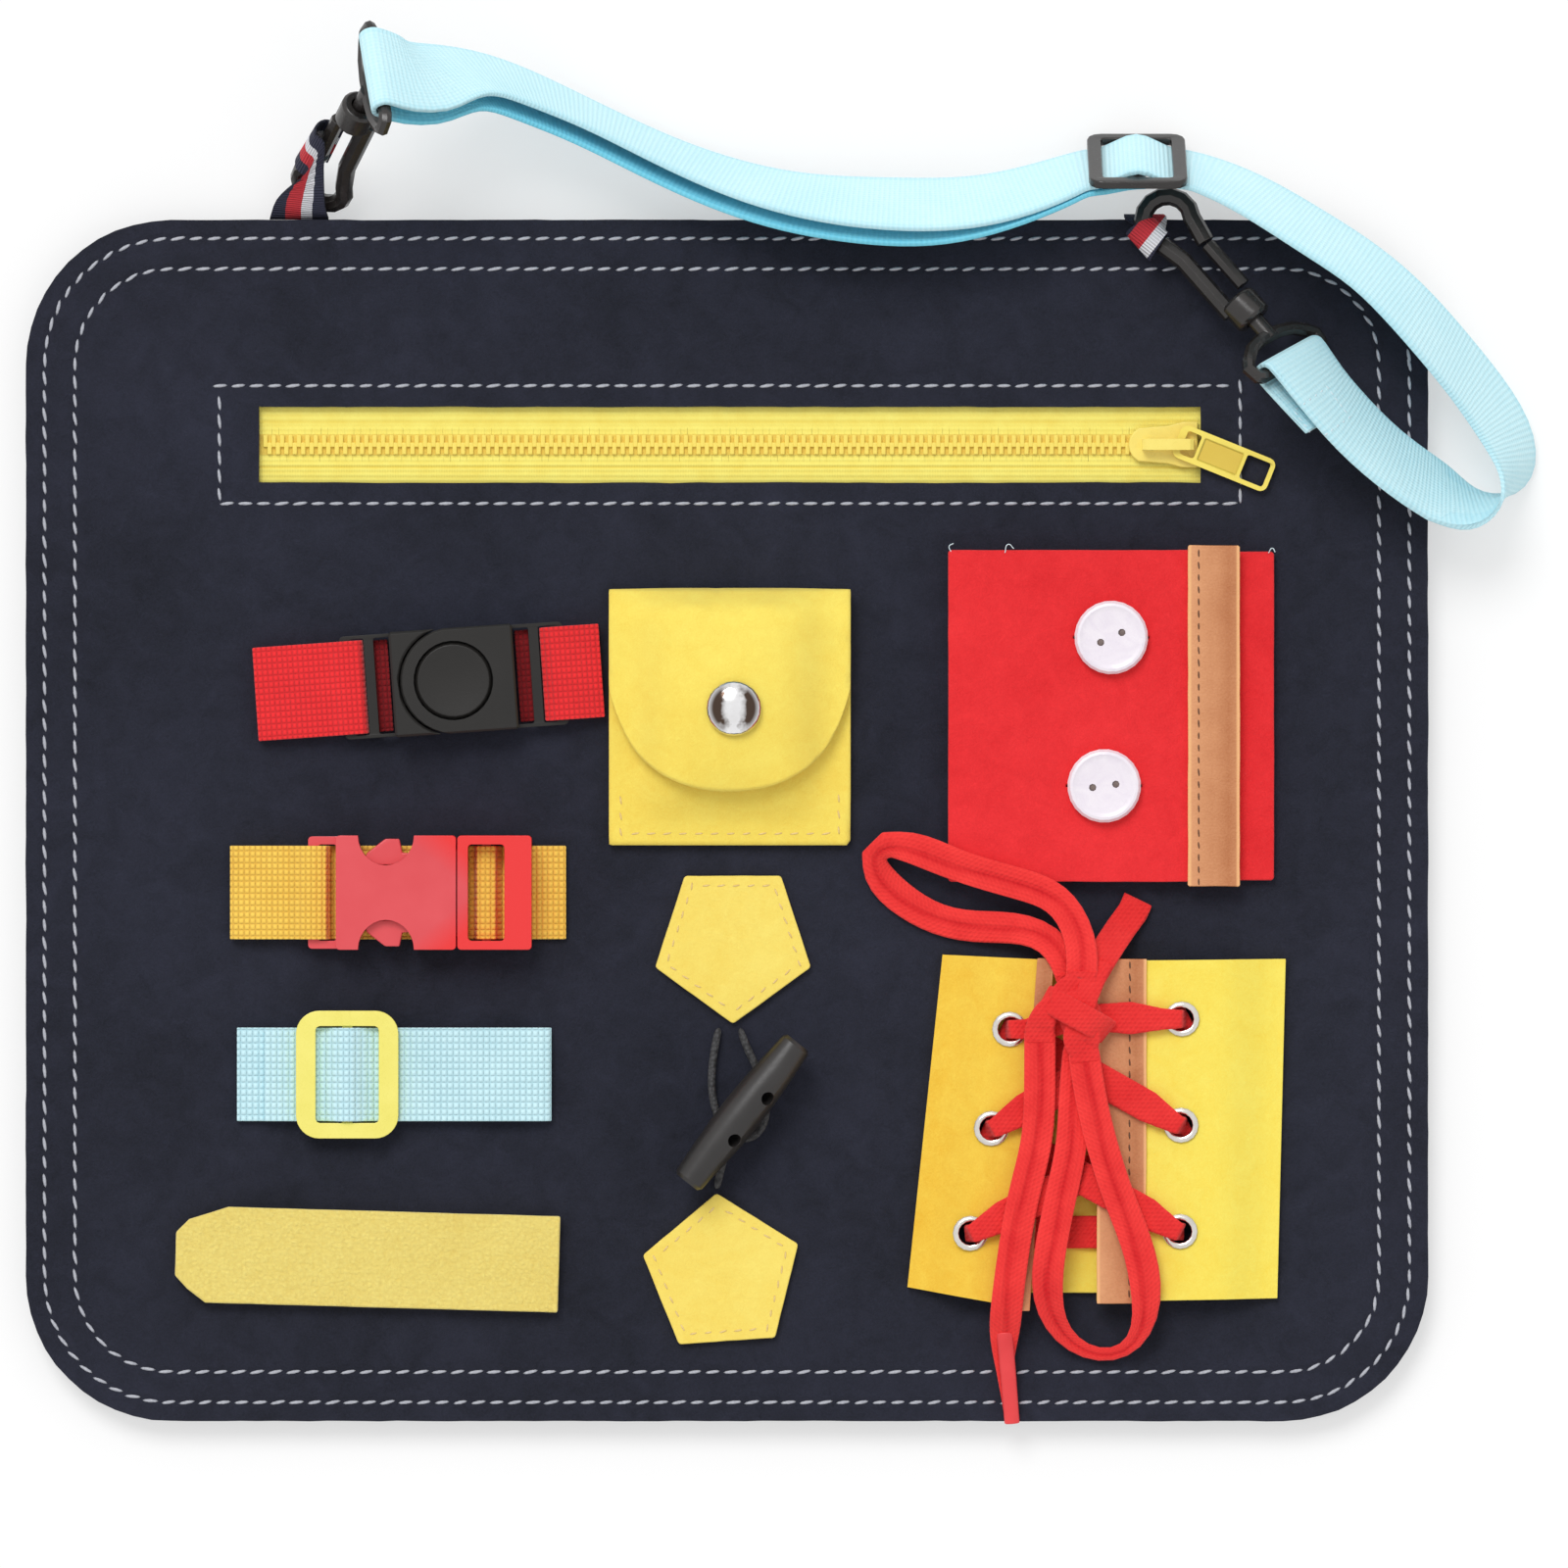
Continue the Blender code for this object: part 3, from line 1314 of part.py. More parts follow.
made = bmesh.new()
bmesh.ops.create_uvsphere(made, u_segments=16, v_segments=8, radius=1)
bmesh.ops.scale(made, verts=made.verts, vec=knot_size)
bmesh.ops.translate(made, verts=made.verts, vec=(knot_x, knot_y, knot_z))
combine(lace_crossings, from_bmesh("knot", made), "UNION")
upper_tail_route = [
    (0.0762, -0.0385, 0.0160),
    (0.0776, -0.0340, 0.0158),
    (0.0800, -0.0295, 0.0148),
    (0.0822, -0.0258, 0.0115),
    (0.0842, -0.0226, 0.0084),
    (0.0864, -0.0192, 0.0074),
    (0.0876, -0.0166, 0.0073),
]
combine(lace_crossings, band("upper_tail", smooth_path(upper_tail_route, lace_spacing), lace_pinched,
                             lace), "UNION")

left_loop_route = [
    (0.0738, -0.0342, 0.0142),
    (0.0722, -0.0296, 0.0140),
    (0.0690, -0.0248, 0.0132),
    (0.0640, -0.0232, 0.0106),
    (0.0580, -0.0229, 0.0084),
    (0.0475, -0.0221, 0.0074),
    (0.0386, -0.0176, 0.0074),
    (0.0326, -0.0118, 0.0078),
    (0.0306, -0.0078, 0.0090),
    (0.0342, -0.0042, 0.0108),
    (0.0395, -0.0058, 0.0120),
    (0.0447, -0.0080, 0.0124),
    (0.0580, -0.0124, 0.0126),
    (0.0668, -0.0149, 0.0132),
    (0.0731, -0.0193, 0.0146),
    (0.0758, -0.0256, 0.0164),
    (0.0756, -0.0342, 0.0172),
]
band("lace_loop_left", smooth_path(left_loop_route, lace_spacing), lace_tail_width, lace, lace_red)
lower_loop_route = [
    (0.0750, -0.0494, 0.0156),
    (0.0742, -0.0560, 0.0155),
    (0.0739, -0.0672, 0.0155),
    (0.0722, -0.0760, 0.0155),
    (0.0695, -0.0893, 0.0155),
    (0.0684, -0.0985, 0.0150),
    (0.0690, -0.1050, 0.0124),
    (0.0712, -0.1098, 0.0094),
    (0.0764, -0.1138, 0.0076),
    (0.0827, -0.1149, 0.0076),
    (0.0876, -0.1118, 0.0104),
    (0.0895, -0.1060, 0.0142),
    (0.0896, -0.0990, 0.0152),
    (0.0880, -0.0918, 0.0154),
    (0.0846, -0.0830, 0.0160),
    (0.0802, -0.0697, 0.0168),
    (0.0775, -0.0584, 0.0172),
    (0.0762, -0.0494, 0.0176),
]
band("lace_loop_lower", smooth_path(lower_loop_route, lace_spacing), lace_tail_width, lace, lace_red)
lower_tail_route = [
    (0.0668, -0.0452, 0.0166),
    (0.0668, -0.0529, 0.0158),
    (0.0664, -0.0672, 0.0154),
    (0.0643, -0.0760, 0.0154),
    (0.0624, -0.0848, 0.0154),
    (0.0608, -0.0950, 0.0153),
    (0.0600, -0.1010, 0.0148),
    (0.0596, -0.1056, 0.0136),
    (0.0594, -0.1092, 0.0106),
    (0.0592, -0.1130, 0.0080),
    (0.0592, -0.1170, 0.0074),
    (0.0600, -0.1230, 0.0074),
    (0.0610, -0.1290, 0.0076),
]
tail_points = smooth_path(lower_tail_route, lace_spacing)
tail_share = 0.80
tail_widths = [
    lace_tail_width + (lace_tip_width - lace_tail_width)
    * ease((index / (len(tail_points) - 1) - tail_share) / (1 - tail_share) * 2)
    for index in range(len(tail_points))
]
band("lace_tail_lower", tail_points, tail_widths, lace, lace_red)

# Snap hooks: a moulded hook with a sprung gate, swivelling on a wire ring

hook_length = 0.0330
hook_bar = 0.0020
eye_radius = 0.0053
slot_half = 0.0031
nose_tip_x = 0.0163
collar_radius = 0.0042
collar_length = 0.0062
gate_bar = 0.0016
gate_tail = 0.0010
tip_gap = 0.0006
pin_radius = 0.0019
pin_inset = 0.0048
ring_bar = 0.0015
ring_half = 0.0128
ring_neck = 0.0042
ring_reach = 0.0480
left_nose_share = -0.29633
left_nose_past = 0.0034
left_nose_rest = 0.0011
right_nose_share = 0.298
right_nose_past = 0.0051
right_nose_rest = 0.0101
left_hook_turns = (61, 50, -58)
right_hook_turns = (-49, 10, -50)

left_nose = (board_width * left_nose_share, board_top_y + left_nose_past, left_nose_rest)
right_nose = (board_width * right_nose_share, board_top_y + right_nose_past, right_nose_rest)
eye_x = eye_radius + hook_bar
collar_start = hook_length - collar_length / 2
along = Matrix.Rotation(math.radians(90), 4, "Y")


def hook_matrix(turn, pitch):
    """A hook's frame: +X runs from its nose to its ring, tilted up by its pitch."""
    return (Matrix.Rotation(math.radians(turn), 4, "Z")
            @ Matrix.Rotation(math.radians(-pitch), 4, "Y"))


def hook_tube(name, route, radius, parent, cyclic=False, resolution=2):
    """A round moulded bar in a hook's own plane."""
    return tube(name, [(x, y, 0) for x, y in route], radius, plastic_black, parent, cyclic, resolution)


for label, place, turns in (("left", left_nose, left_hook_turns), ("right", right_nose, right_hook_turns)):
    turn, pitch, roll = turns
    frame = empty(label + "_hook_frame", place, hook_matrix(turn, pitch))
    arm_route = [(collar_start + hook_bar, -slot_half), (nose_tip_x, -slot_half)]
    arm_route += arc((eye_x, 0), eye_radius, -55, -305, 10)
    arm_route += [(nose_tip_x, slot_half)]
    hook = hook_tube("snap_hook_" + label, arm_route, hook_bar, frame)
    collar_profile = [
        (0, collar_length / 2),
        (collar_radius * 0.85, collar_length / 2),
        (collar_radius, collar_length * 0.4),
        (collar_radius, -collar_length * 0.4),
        (collar_radius * 0.85, -collar_length / 2),
        (0, -collar_length / 2),
    ]
    collar = turned("collar_" + label, collar_profile, parent=frame,
                    matrix=Matrix.Translation((hook_length, 0, 0)) @ along, sides=18)
    combine(hook, collar, "UNION")
    bore = cylinder("pin_bore_" + label, pin_radius + gap, -pin_inset - gap, overrun, parent=frame, sides=14)
    bore.matrix_local = Matrix.Translation((hook_length + collar_length / 2, 0, 0)) @ along
    combine(hook, bore)
    gate_turn = math.hypot(gate_bar, gate_tail)
    gate_x = collar_start - gap - gate_turn
    gate_axis = empty(label + "_gate_axis", (gate_x, slot_half, 0), parent=frame)
    hook_tube("hook_gate_" + label, [(gate_tail, 0), (nose_tip_x + tip_gap - gate_x, 0)], gate_bar, gate_axis)
    ring_frame = empty(label + "_ring_frame", (0, 0, 0), Matrix.Rotation(math.radians(roll), 4, "X"), frame)
    neck_end = hook_length + collar_length / 2 + gap + ring_neck
    ring_route = [
        (neck_end, ring_half * 0.25),
        (neck_end + ring_bar * 0.6, ring_half * 0.6),
        (neck_end + ring_bar * 2, ring_half * 0.88),
        (ring_reach - ring_bar * 2, ring_half),
        (ring_reach - ring_bar * 0.4, ring_half * 0.96),
        (ring_reach, ring_half * 0.86),
    ]
    ring_route += [(x, -y) for x, y in reversed(ring_route)]
    ring = hook_tube("swivel_ring_" + label, ring_route, ring_bar, ring_frame, True)
    pin_bottom = hook_length + collar_length / 2 - pin_inset
    pin = cylinder("pin_" + label, pin_radius, 0, neck_end + ring_bar / 2 - pin_bottom,
                   parent=ring_frame, sides=14)
    pin.matrix_local = Matrix.Translation((pin_bottom, 0, 0)) @ along
    combine(ring, pin, "UNION")

# Carry strap: one webbing, hung on the left ring, adjusted by a slide and sewn round the right ring

light_blue = paint("light_blue_webbing", (204, 236, 243), 0.75)
# Shares of the board's width: X, Y past its top edge, height of what the strap rests on, tilt of its
# width in degrees, and a rise above that rest
strap_share_rows = [
    (-0.1940, 0.1070, 0, -62, 0.0500),
    (-0.1435, 0.0940, 0, -70, 0.0200),
    (-0.0930, 0.0720, 0, -73, 0.0060),
    (-0.0290, 0.0420, 0, -70, 0.0040),
    (0.0410, 0.0190, 0, -63, 0.0120),
    (0.1110, 0.0110, 0, -56, 0.0160),
    (0.1810, 0.0120, 0, -56, 0.0160),
    (0.2200, 0.0240, 0, -60, 0.0120),
    (0.2550, 0.0410, 0, -65, 0.0120),
    (0.2920, 0.0410, 0, -65, 0.0120),
    (0.3290, 0.0410, 0, -65, 0.0120),
    (0.3640, 0.0240, 0, -62, 0.0160),
    (0.4060, -0.0035, 1, -60, 0.0040),
    (0.4600, -0.0384, 1, -58, 0.0040),
    (0.4980, -0.0804, 1, -46, 0.0040),
    (0.5330, -0.1270, 0, -28, 0.0060),
    (0.5480, -0.1560, 0, -12, 0.0030),
]
fold_share = (0.5540, -0.1840)
fold_turn = -34.4
fold_radius = 0.0050
upper_share_rows = [(0.5250, -0.1840), (0.4950, -0.1690), (0.4620, -0.1460), (0.4340, -0.1230)]
strap_step = 0.0060
strap_leave = 0.0110
slide_share = 0.2920
slide_length = 0.0210
slide_width = 0.0265
slide_bar = 0.0030
slide_thickness = 0.0018
stub_length = 0.0150

strap_half = webbing_width / 2
layer = webbing + gap
wrap = ring_bar + gap + webbing / 2


def tilted(ahead, tilt):
    """The strap's width direction: level across its run, then tilted."""
    level = Vector((-ahead.y, ahead.x, 0)).normalized()
    return level * math.cos(math.radians(tilt)) + Vector((0, 0, math.sin(math.radians(tilt))))


def ring_place(label, out):
    """A ring bar's middle, and its directions along the hook and along the bar, in the world."""
    turn, pitch, roll = (left_hook_turns, right_hook_turns)[label == "right"]
    nose = (left_nose, right_nose)[label == "right"]
    matrix = (Matrix.Translation(nose) @ hook_matrix(turn, pitch)
              @ Matrix.Rotation(math.radians(roll), 4, "X"))
    turned_axes = matrix.to_3x3()
    return matrix @ Vector((ring_reach + out, 0, 0)), turned_axes.col[0].copy(), turned_axes.col[1].copy()


controls = []
for x, y, rest, tilt, rise in strap_share_rows:
    height = (face * rest + strap_half * abs(math.sin(math.radians(tilt))) + webbing / 2 + gap
              + rise * board_width)
    controls.append(Vector((board_width * x, board_top_y + board_width * y, height)))
tilts = [row[3] for row in strap_share_rows]

left_bar, left_along, left_across = ring_place("left", 0)
right_bar, right_along, right_across = ring_place("right", 0)
fold_place = Vector((board_width * fold_share[0], board_top_y + board_width * fold_share[1],
                     webbing / 2 + gap + face * 0.5))

# Middle of the main layer, with its width directions
main = []
leave = controls[0] - left_bar
leave = (leave - left_across * leave.dot(left_across)).normalized()
path = [left_bar, left_bar + leave * strap_leave, *controls, fold_place]
fine = smooth_path(path, strap_step)
lengths = [0]
for start, end in zip(fine, fine[1:]):
    lengths.append(lengths[-1] + (end - start).length)
marks = [min(range(len(fine)), key=lambda index: (fine[index] - point).length) for point in path]
fold_direction = Vector((math.cos(math.radians(fold_turn)), math.sin(math.radians(fold_turn)), 0))
across_at = []
for order, index in enumerate(marks):
    ahead = (fine[min(index + 1, len(fine) - 1)] - fine[max(index - 1, 0)]).normalized()
    if order < 2:
        across_at.append(left_across)
    elif order == len(marks) - 1:
        across_at.append(Vector((-fold_direction.y, fold_direction.x, 0)))
    else:
        across_at.append(tilted(ahead, tilts[order - 2]))
for index, place in enumerate(fine):
    order = max(step for step, mark in enumerate(marks) if mark <= index)
    after = min(order + 1, len(marks) - 1)
    span = lengths[marks[after]] - lengths[marks[order]]
    share = (lengths[index] - lengths[marks[order]]) / span if span else 0
    across = across_at[order].lerp(across_at[after], share).normalized()
    ahead = (fine[min(index + 1, len(fine) - 1)] - fine[max(index - 1, 0)]).normalized()
    if lengths[index] < strap_leave:
        ahead = leave
    across = (across - ahead * across.dot(ahead)).normalized()
    main.append((place, across, ahead.cross(across).normalized()))

slide_index = marks[2 + [row[0] for row in strap_share_rows].index(slide_share)]
slide_place, slide_across, slide_out = main[slide_index]
slide_ahead = slide_across.cross(slide_out)
slide_distance = lengths[slide_index]
straight = slide_length / 2 + ledge


def frame_at(distance):
    """Place, width direction and outward direction at a distance along the main layer."""
    offset = distance - slide_distance
    if abs(offset) <= straight:
        return slide_place + slide_ahead * offset, slide_across, slide_out
    after = next((index for index, length in enumerate(lengths) if length >= distance), len(lengths) - 1)
    before = max(after - 1, 0)
    span = lengths[after] - lengths[before]
    share = (distance - lengths[before]) / span if span else 0
    return [start.lerp(end, share) for start, end in zip(main[before], main[after])]


slide_half = slide_thickness / 2 + gap + webbing / 2
bar_side = slide_bar / 2 + ledge
opening_end = slide_length / 2 - slide_bar - ledge
loose_gap = 0.0024
loose_end = 0.130
settle = 0.020


def main_offset(distance):
    """How far the main layer lies off its middle line."""
    off = abs(distance - slide_distance)
    if off <= bar_side:
        return slide_half
    if off <= opening_end:
        share = (off - bar_side) / (opening_end - bar_side)
        return slide_half - 2 * slide_half * share
    if off <= straight:
        return -slide_half
    if off <= straight + settle:
        return -slide_half * (1 - ease((off - straight) / settle))
    return wrap * (1 - ease(distance / settle))


def return_offset(distance):
    """How far the returning layer lies off the same line."""
    off = slide_distance - distance
    if off <= bar_side:
        return -slide_half
    if off <= opening_end:
        share = (off - bar_side) / (opening_end - bar_side)
        return -slide_half - layer * share
    loose = loose_gap * ease(distance / settle) * (1 - ease((distance - loose_end) / settle))
    start = wrap * (1 - ease(distance / settle))
    return main_offset(distance) - layer - loose - start * (2 - layer / wrap)


def stations(start, end, special):
    count = max(1, round(abs(end - start) / strap_step))
    spots = [start + (end - start) * step / count for step in range(count + 1)]
    spots = [spot for spot in spots if min(abs(spot - mark) for mark in special) > strap_step / 3]
    return sorted(spots + [mark for mark in special if start <= mark <= end])


slide_marks = [slide_distance + side * spot for side in (-1, 1)
               for spot in (bar_side, opening_end, straight - ledge)]
places, acrosses = [], []


def lay_strap(place, across):
    places.append(place)
    acrosses.append(across)


for distance in reversed(stations(0, slide_distance + bar_side, slide_marks + [0])):
    place, across, out = frame_at(distance)
    lay_strap(place + out * return_offset(distance), across)
place, across, out = frame_at(0)
ahead = across.cross(out)
for turn in range(1, 6):
    angle = math.radians(-90 - 30 * turn)
    lay_strap(place + (out * math.sin(angle) + ahead * math.cos(angle)) * wrap, across)
total = lengths[-1]
for distance in stations(0, total, slide_marks + [0, total]):
    place, across, out = frame_at(distance)
    lay_strap(place + out * main_offset(distance), across)
place, across, out = main[-1]
ahead = across.cross(out)
for turn in range(1, 7):
    angle = math.radians(-90 + 30 * turn)
    lay_strap(place + out * fold_radius * (1 + math.sin(angle)) + ahead * fold_radius * math.cos(angle), across)
top_place = places[-1]
ring_up = -(-right_along).cross(right_across).normalized()
route = [top_place]
route_across = [across]
count = len(upper_share_rows)
for step, (x, y) in enumerate(upper_share_rows):
    share = (step + 1) / (count + 1)
    height = top_place.z + (right_bar.z - top_place.z) * share
    route.append(Vector((board_width * x, board_top_y + board_width * y, height)))
    route_across.append(across.lerp(right_across, share).normalized())
route.append(right_bar + ring_up * wrap + right_along * ring_half * 0.4)
route_across.append(right_across)
route.append(right_bar + ring_up * wrap)
route_across.append(right_across)
for place, across in zip(route[1:], route_across[1:]):
    lay_strap(place, across)
for turn in range(1, 7):
    angle = math.radians(90 - 30 * turn)
    lay_strap(right_bar + ring_up * wrap * math.sin(angle) - right_along * wrap * math.cos(angle), right_across)
under = right_bar - ring_up * wrap
for step in (1, 2):
    lay_strap(under + right_along * stub_length * step / 2 + ring_up * gap * step, right_across)
carry_strap = band("carry_strap", places, webbing_width, webbing, light_blue, across=acrosses)

slide_turn = Matrix((slide_ahead, slide_across, slide_out)).transposed().to_4x4()
strap_slide_frame = empty("strap_slide_frame", slide_place, slide_turn)
strap_slide = plate("strap_slide", [rounded(slide_length, slide_width, slide_bar, steps=3)],
                    -slide_thickness / 2, slide_thickness / 2, plastic_black, strap_slide_frame)
slot_length = slide_length / 2 - slide_bar * 1.5
for side in (-1, 1):
    middle = side * (slide_bar / 2 + slot_length / 2)
    combine(strap_slide, plate("strap_slot_" + str(side),
                               [rounded(slot_length, webbing_width + 4 * gap, slide_bar * 0.3, (middle, 0), 2)],
                               -overrun, overrun, parent=strap_slide_frame))

# Ribbon loops: striped ribbon sewn into the board's top edge, each wrapped over an arm of a snap hook

ribbon_blue = paint("striped_ribbon", (44, 46, 84), 0.8)
ribbon = 0.0006
ribbon_spacing = 0.0016
seam_y = board_top_y + gap
seam_z = front_bottom
left_ribbon_edges = (-0.0090, 0.0036)
right_ribbon_edges = (-0.0044, 0.0041)
# Both edges of each ribbon in its hook's frame, from over the hook to under it
left_ribbon_route = [
    ((0.0015, 0.0070, 0.0052), (0.0065, -0.0026, 0.0038)),
    ((0.0070, 0.0056, 0.0040), (0.0160, 0.0010, 0.0036)),
    ((0.0107, 0.0038, 0.0034), (0.0233, 0.0034, 0.0033)),
    ((0.0109, 0.0062, 0.0025), (0.0233, 0.0057, 0.0024)),
    ((0.0110, 0.0073, 0.0000), (0.0233, 0.0066, 0.0000)),
    ((0.0109, 0.0062, -0.0025), (0.0233, 0.0057, -0.0024)),
    ((0.0107, 0.0038, -0.0034), (0.0233, 0.0034, -0.0033)),
    ((0.0107, 0.0012, -0.0034), (0.0233, 0.0012, -0.0033)),
]
right_ribbon_route = [
    ((0.0046, -0.0048, -0.0030), (0.0104, -0.0048, -0.0032)),
    ((0.0053, -0.0030, -0.0029), (0.0097, -0.0030, -0.0029)),
    ((0.0054, -0.0019, 0.0000), (0.0096, -0.0019, 0.0000)),
    ((0.0050, -0.0026, 0.0024), (0.0100, -0.0026, 0.0024)),
    ((0.0042, -0.0046, 0.0033), (0.0108, -0.0046, 0.0033)),
    ((0.0037, -0.0070, 0.0023), (0.0113, -0.0070, 0.0023)),
    ((0.0035, -0.0083, 0.0000), (0.0115, -0.0083, 0.0000)),
    ((0.0038, -0.0079, -0.0016), (0.0112, -0.0079, -0.0016)),
]


def ribbon_loop(name, edges):
    """Ribbon between two edge lines."""
    steps = 3
    low = [Vector(pair[0]) for pair in edges]
    high = [Vector(pair[1]) for pair in edges]

    def lay(along_share, share):
        spot = along_share * (len(edges) - 1)
        index = min(int(spot), len(edges) - 2)
        step = spot - index
        lines = []
        for line in (low, high):
            before = line[max(index - 1, 0)]
            start, end = line[index], line[index + 1]
            after = line[min(index + 2, len(line) - 1)]
            lines.append(0.5 * (2 * start + (end - before) * step
                                + (2 * before - 5 * start + 4 * end - after) * step**2
                                + (3 * start - before - 3 * end + after) * step**3))
        return lines[0].lerp(lines[1], share)

    return sheet(name, (len(edges) - 1) * steps, 2, lay, ribbon, ribbon_blue, even=False)


for label, nose, turns, seam, route in (
        ("left", left_nose, left_hook_turns, left_ribbon_edges, left_ribbon_route),
        ("right", right_nose, right_hook_turns, right_ribbon_edges, right_ribbon_route)):
    to_world = Matrix.Translation(nose) @ hook_matrix(turns[0], turns[1])
    edges = [tuple(to_world @ Vector(point) for point in pair) for pair in route]
    seam = [nose[0] + edge for edge in seam]
    if label == "left":
        first = [tuple(Vector((x, seam_y, seam_z)) for x in seam)]
    else:
        first = [tuple(Vector((x, seam_y + ribbon, seam_z)) for x in seam),
                 tuple(Vector((x, seam_y + ribbon, seam_z + ribbon * 4)) for x in seam),
                 tuple(Vector((x + ribbon, seam_y - ribbon, face + ribbon * 1.7)) for x in seam)]
    ribbon_loop("ribbon_loop_" + label, first + edges)
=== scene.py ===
"""Looks of the felt dressing skills board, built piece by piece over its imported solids."""

import math
import random

import bmesh
import bpy
from mathutils import Matrix, Vector, noise
from mathutils.bvhtree import BVHTree


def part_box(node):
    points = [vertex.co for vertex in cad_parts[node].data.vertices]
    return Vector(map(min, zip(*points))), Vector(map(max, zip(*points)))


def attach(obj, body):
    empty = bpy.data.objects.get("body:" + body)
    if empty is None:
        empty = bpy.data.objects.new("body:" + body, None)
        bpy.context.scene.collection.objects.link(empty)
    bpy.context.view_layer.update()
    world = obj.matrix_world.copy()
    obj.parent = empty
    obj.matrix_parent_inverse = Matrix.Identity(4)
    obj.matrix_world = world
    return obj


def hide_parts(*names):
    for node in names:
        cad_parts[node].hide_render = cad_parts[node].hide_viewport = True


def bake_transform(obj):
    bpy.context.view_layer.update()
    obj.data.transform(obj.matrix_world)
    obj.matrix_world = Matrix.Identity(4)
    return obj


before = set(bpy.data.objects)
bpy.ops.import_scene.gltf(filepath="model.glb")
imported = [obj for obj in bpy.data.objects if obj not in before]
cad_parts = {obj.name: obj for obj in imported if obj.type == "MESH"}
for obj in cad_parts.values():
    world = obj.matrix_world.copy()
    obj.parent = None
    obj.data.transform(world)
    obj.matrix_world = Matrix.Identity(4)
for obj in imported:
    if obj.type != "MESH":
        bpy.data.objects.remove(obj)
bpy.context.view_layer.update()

# Table and light: the board lies on a white table top under broad, soft light from above,
# and is seen from straight over it, with the strap at the top.

view_width = 0.336
view_place = (0.0122, 0.0078)
view_height = 4.0
table_width = 9.0
table_drop = 0.0004
white = (1, 1, 1, 1)
table_glow = 0.5
shown_rays = ("Is Camera Ray", "Is Glossy Ray", "Is Transmission Ray")
fill_strength = 0.70
lamp_strength = 1.40


def placed(name, data):
    """Puts an object with this shape, lens or lamp in the scene."""
    thing = bpy.data.objects.new(name, data)
    bpy.context.scene.collection.objects.link(thing)
    return thing


overhead = bpy.data.cameras.new("overhead")
overhead.sensor_width = 36
overhead.lens = overhead.sensor_width * view_height / view_width
camera = placed("overhead", overhead)
camera.location = (*view_place, view_height)
bpy.context.scene.camera = camera
bpy.context.scene.view_settings.view_transform = "Standard"


class Line:
    """A value running through a material, so that its sums are written as plain Python."""

    def __init__(self, finish, socket):
        self.finish = finish
        self.socket = socket

    def sum(self, operation, *values):
        return self.finish.add("ShaderNodeMath", {"operation": operation}, dict(enumerate(values)))

    def __add__(self, other):
        return self.sum("ADD", self, other)

    def __sub__(self, other):
        return self.sum("SUBTRACT", self, other)

    def __rsub__(self, other):
        return self.sum("SUBTRACT", other, self)

    def __mul__(self, other):
        return self.sum("MULTIPLY", self, other)

    def __truediv__(self, other):
        return self.sum("DIVIDE", self, other)

    __radd__ = __add__
    __rmul__ = __mul__

    def above(self, edge):
        return self.sum("GREATER_THAN", self, edge)

    def clipped(self):
        return self.finish.add("ShaderNodeClamp", {}, {0: self})

    def size(self):
        return self.sum("ABSOLUTE", self)

    def ripple(self, pitch):
        return self.sum("SINE", self * (2 * math.pi / pitch))


def seen(red, green, blue):
    """A colour as it is read off a screen, for a material socket."""
    shades = [channel / 255 for channel in (red, green, blue)]
    return (*[s / 12.92 if s < 0.04045 else ((s + 0.055) / 1.055) ** 2.4 for s in shades], 1)


class Finish:
    """One material of the board. Its pattern is laid in the piece's own place, in metres."""

    def __init__(self, name, **plain):
        self.material = bpy.data.materials.new(name)
        self.material.use_nodes = True
        self.nodes = self.material.node_tree.nodes
        self.links = self.material.node_tree.links
        self.surface = self.nodes["Principled BSDF"]
        for socket, value in plain.items():
            label = socket.replace("_", " ").title().replace("Ior", "IOR")
            self.surface.inputs[label].default_value = value

    def add(self, kind, settings, values, output=0):
        node = self.nodes.new(kind)
        for name, value in settings.items():
            setattr(node, name, value)
        for socket, value in values.items():
            if isinstance(value, Line):
                self.links.new(value.socket, node.inputs[socket])
            else:
                node.inputs[socket].default_value = value
        return Line(self, node.outputs[output])

    def place(self, turn=0.0, kind="Object"):
        """Where a point is, turned about the board's upright."""
        spot = self.add("ShaderNodeTexCoord", {}, {}, kind)
        if turn:
            spot = self.add("ShaderNodeMapping", {}, {"Vector": spot, "Rotation": (0, 0, math.radians(turn))})
        return spot

    def parts(self, spot):
        split = self.add("ShaderNodeSeparateXYZ", {}, {0: spot})
        return [Line(self, split.socket.node.outputs[axis]) for axis in range(3)]

    def grain(self, spot, size, detail=4, rough=0.6, twist=0.0):
        """Soft mottling whose spots are about this size."""
        return self.add("ShaderNodeTexNoise", {}, {
            "Vector": spot, "Scale": 1 / size, "Detail": detail, "Roughness": rough, "Distortion": twist})

    def mix(self, share, first, second):
        return self.add("ShaderNodeMix", {"data_type": "RGBA"}, {0: share, 6: first, 7: second}, 2)

    def tint(self, share, first, second):
        self.links.new(self.mix(share, first, second).socket, self.surface.inputs["Base Color"])

    def worn(self, spot, size, swing, middle):
        """Gloss that differs a little from place to place."""
        value = (self.grain(spot, size) - 0.5) * swing + middle
        self.links.new(value.socket, self.surface.inputs["Roughness"])

    def relief(self, height, depth, strength=1.0):
        bump = self.add("ShaderNodeBump", {}, {"Height": height, "Distance": depth, "Strength": strength})
        self.links.new(bump.socket, self.surface.inputs["Normal"])


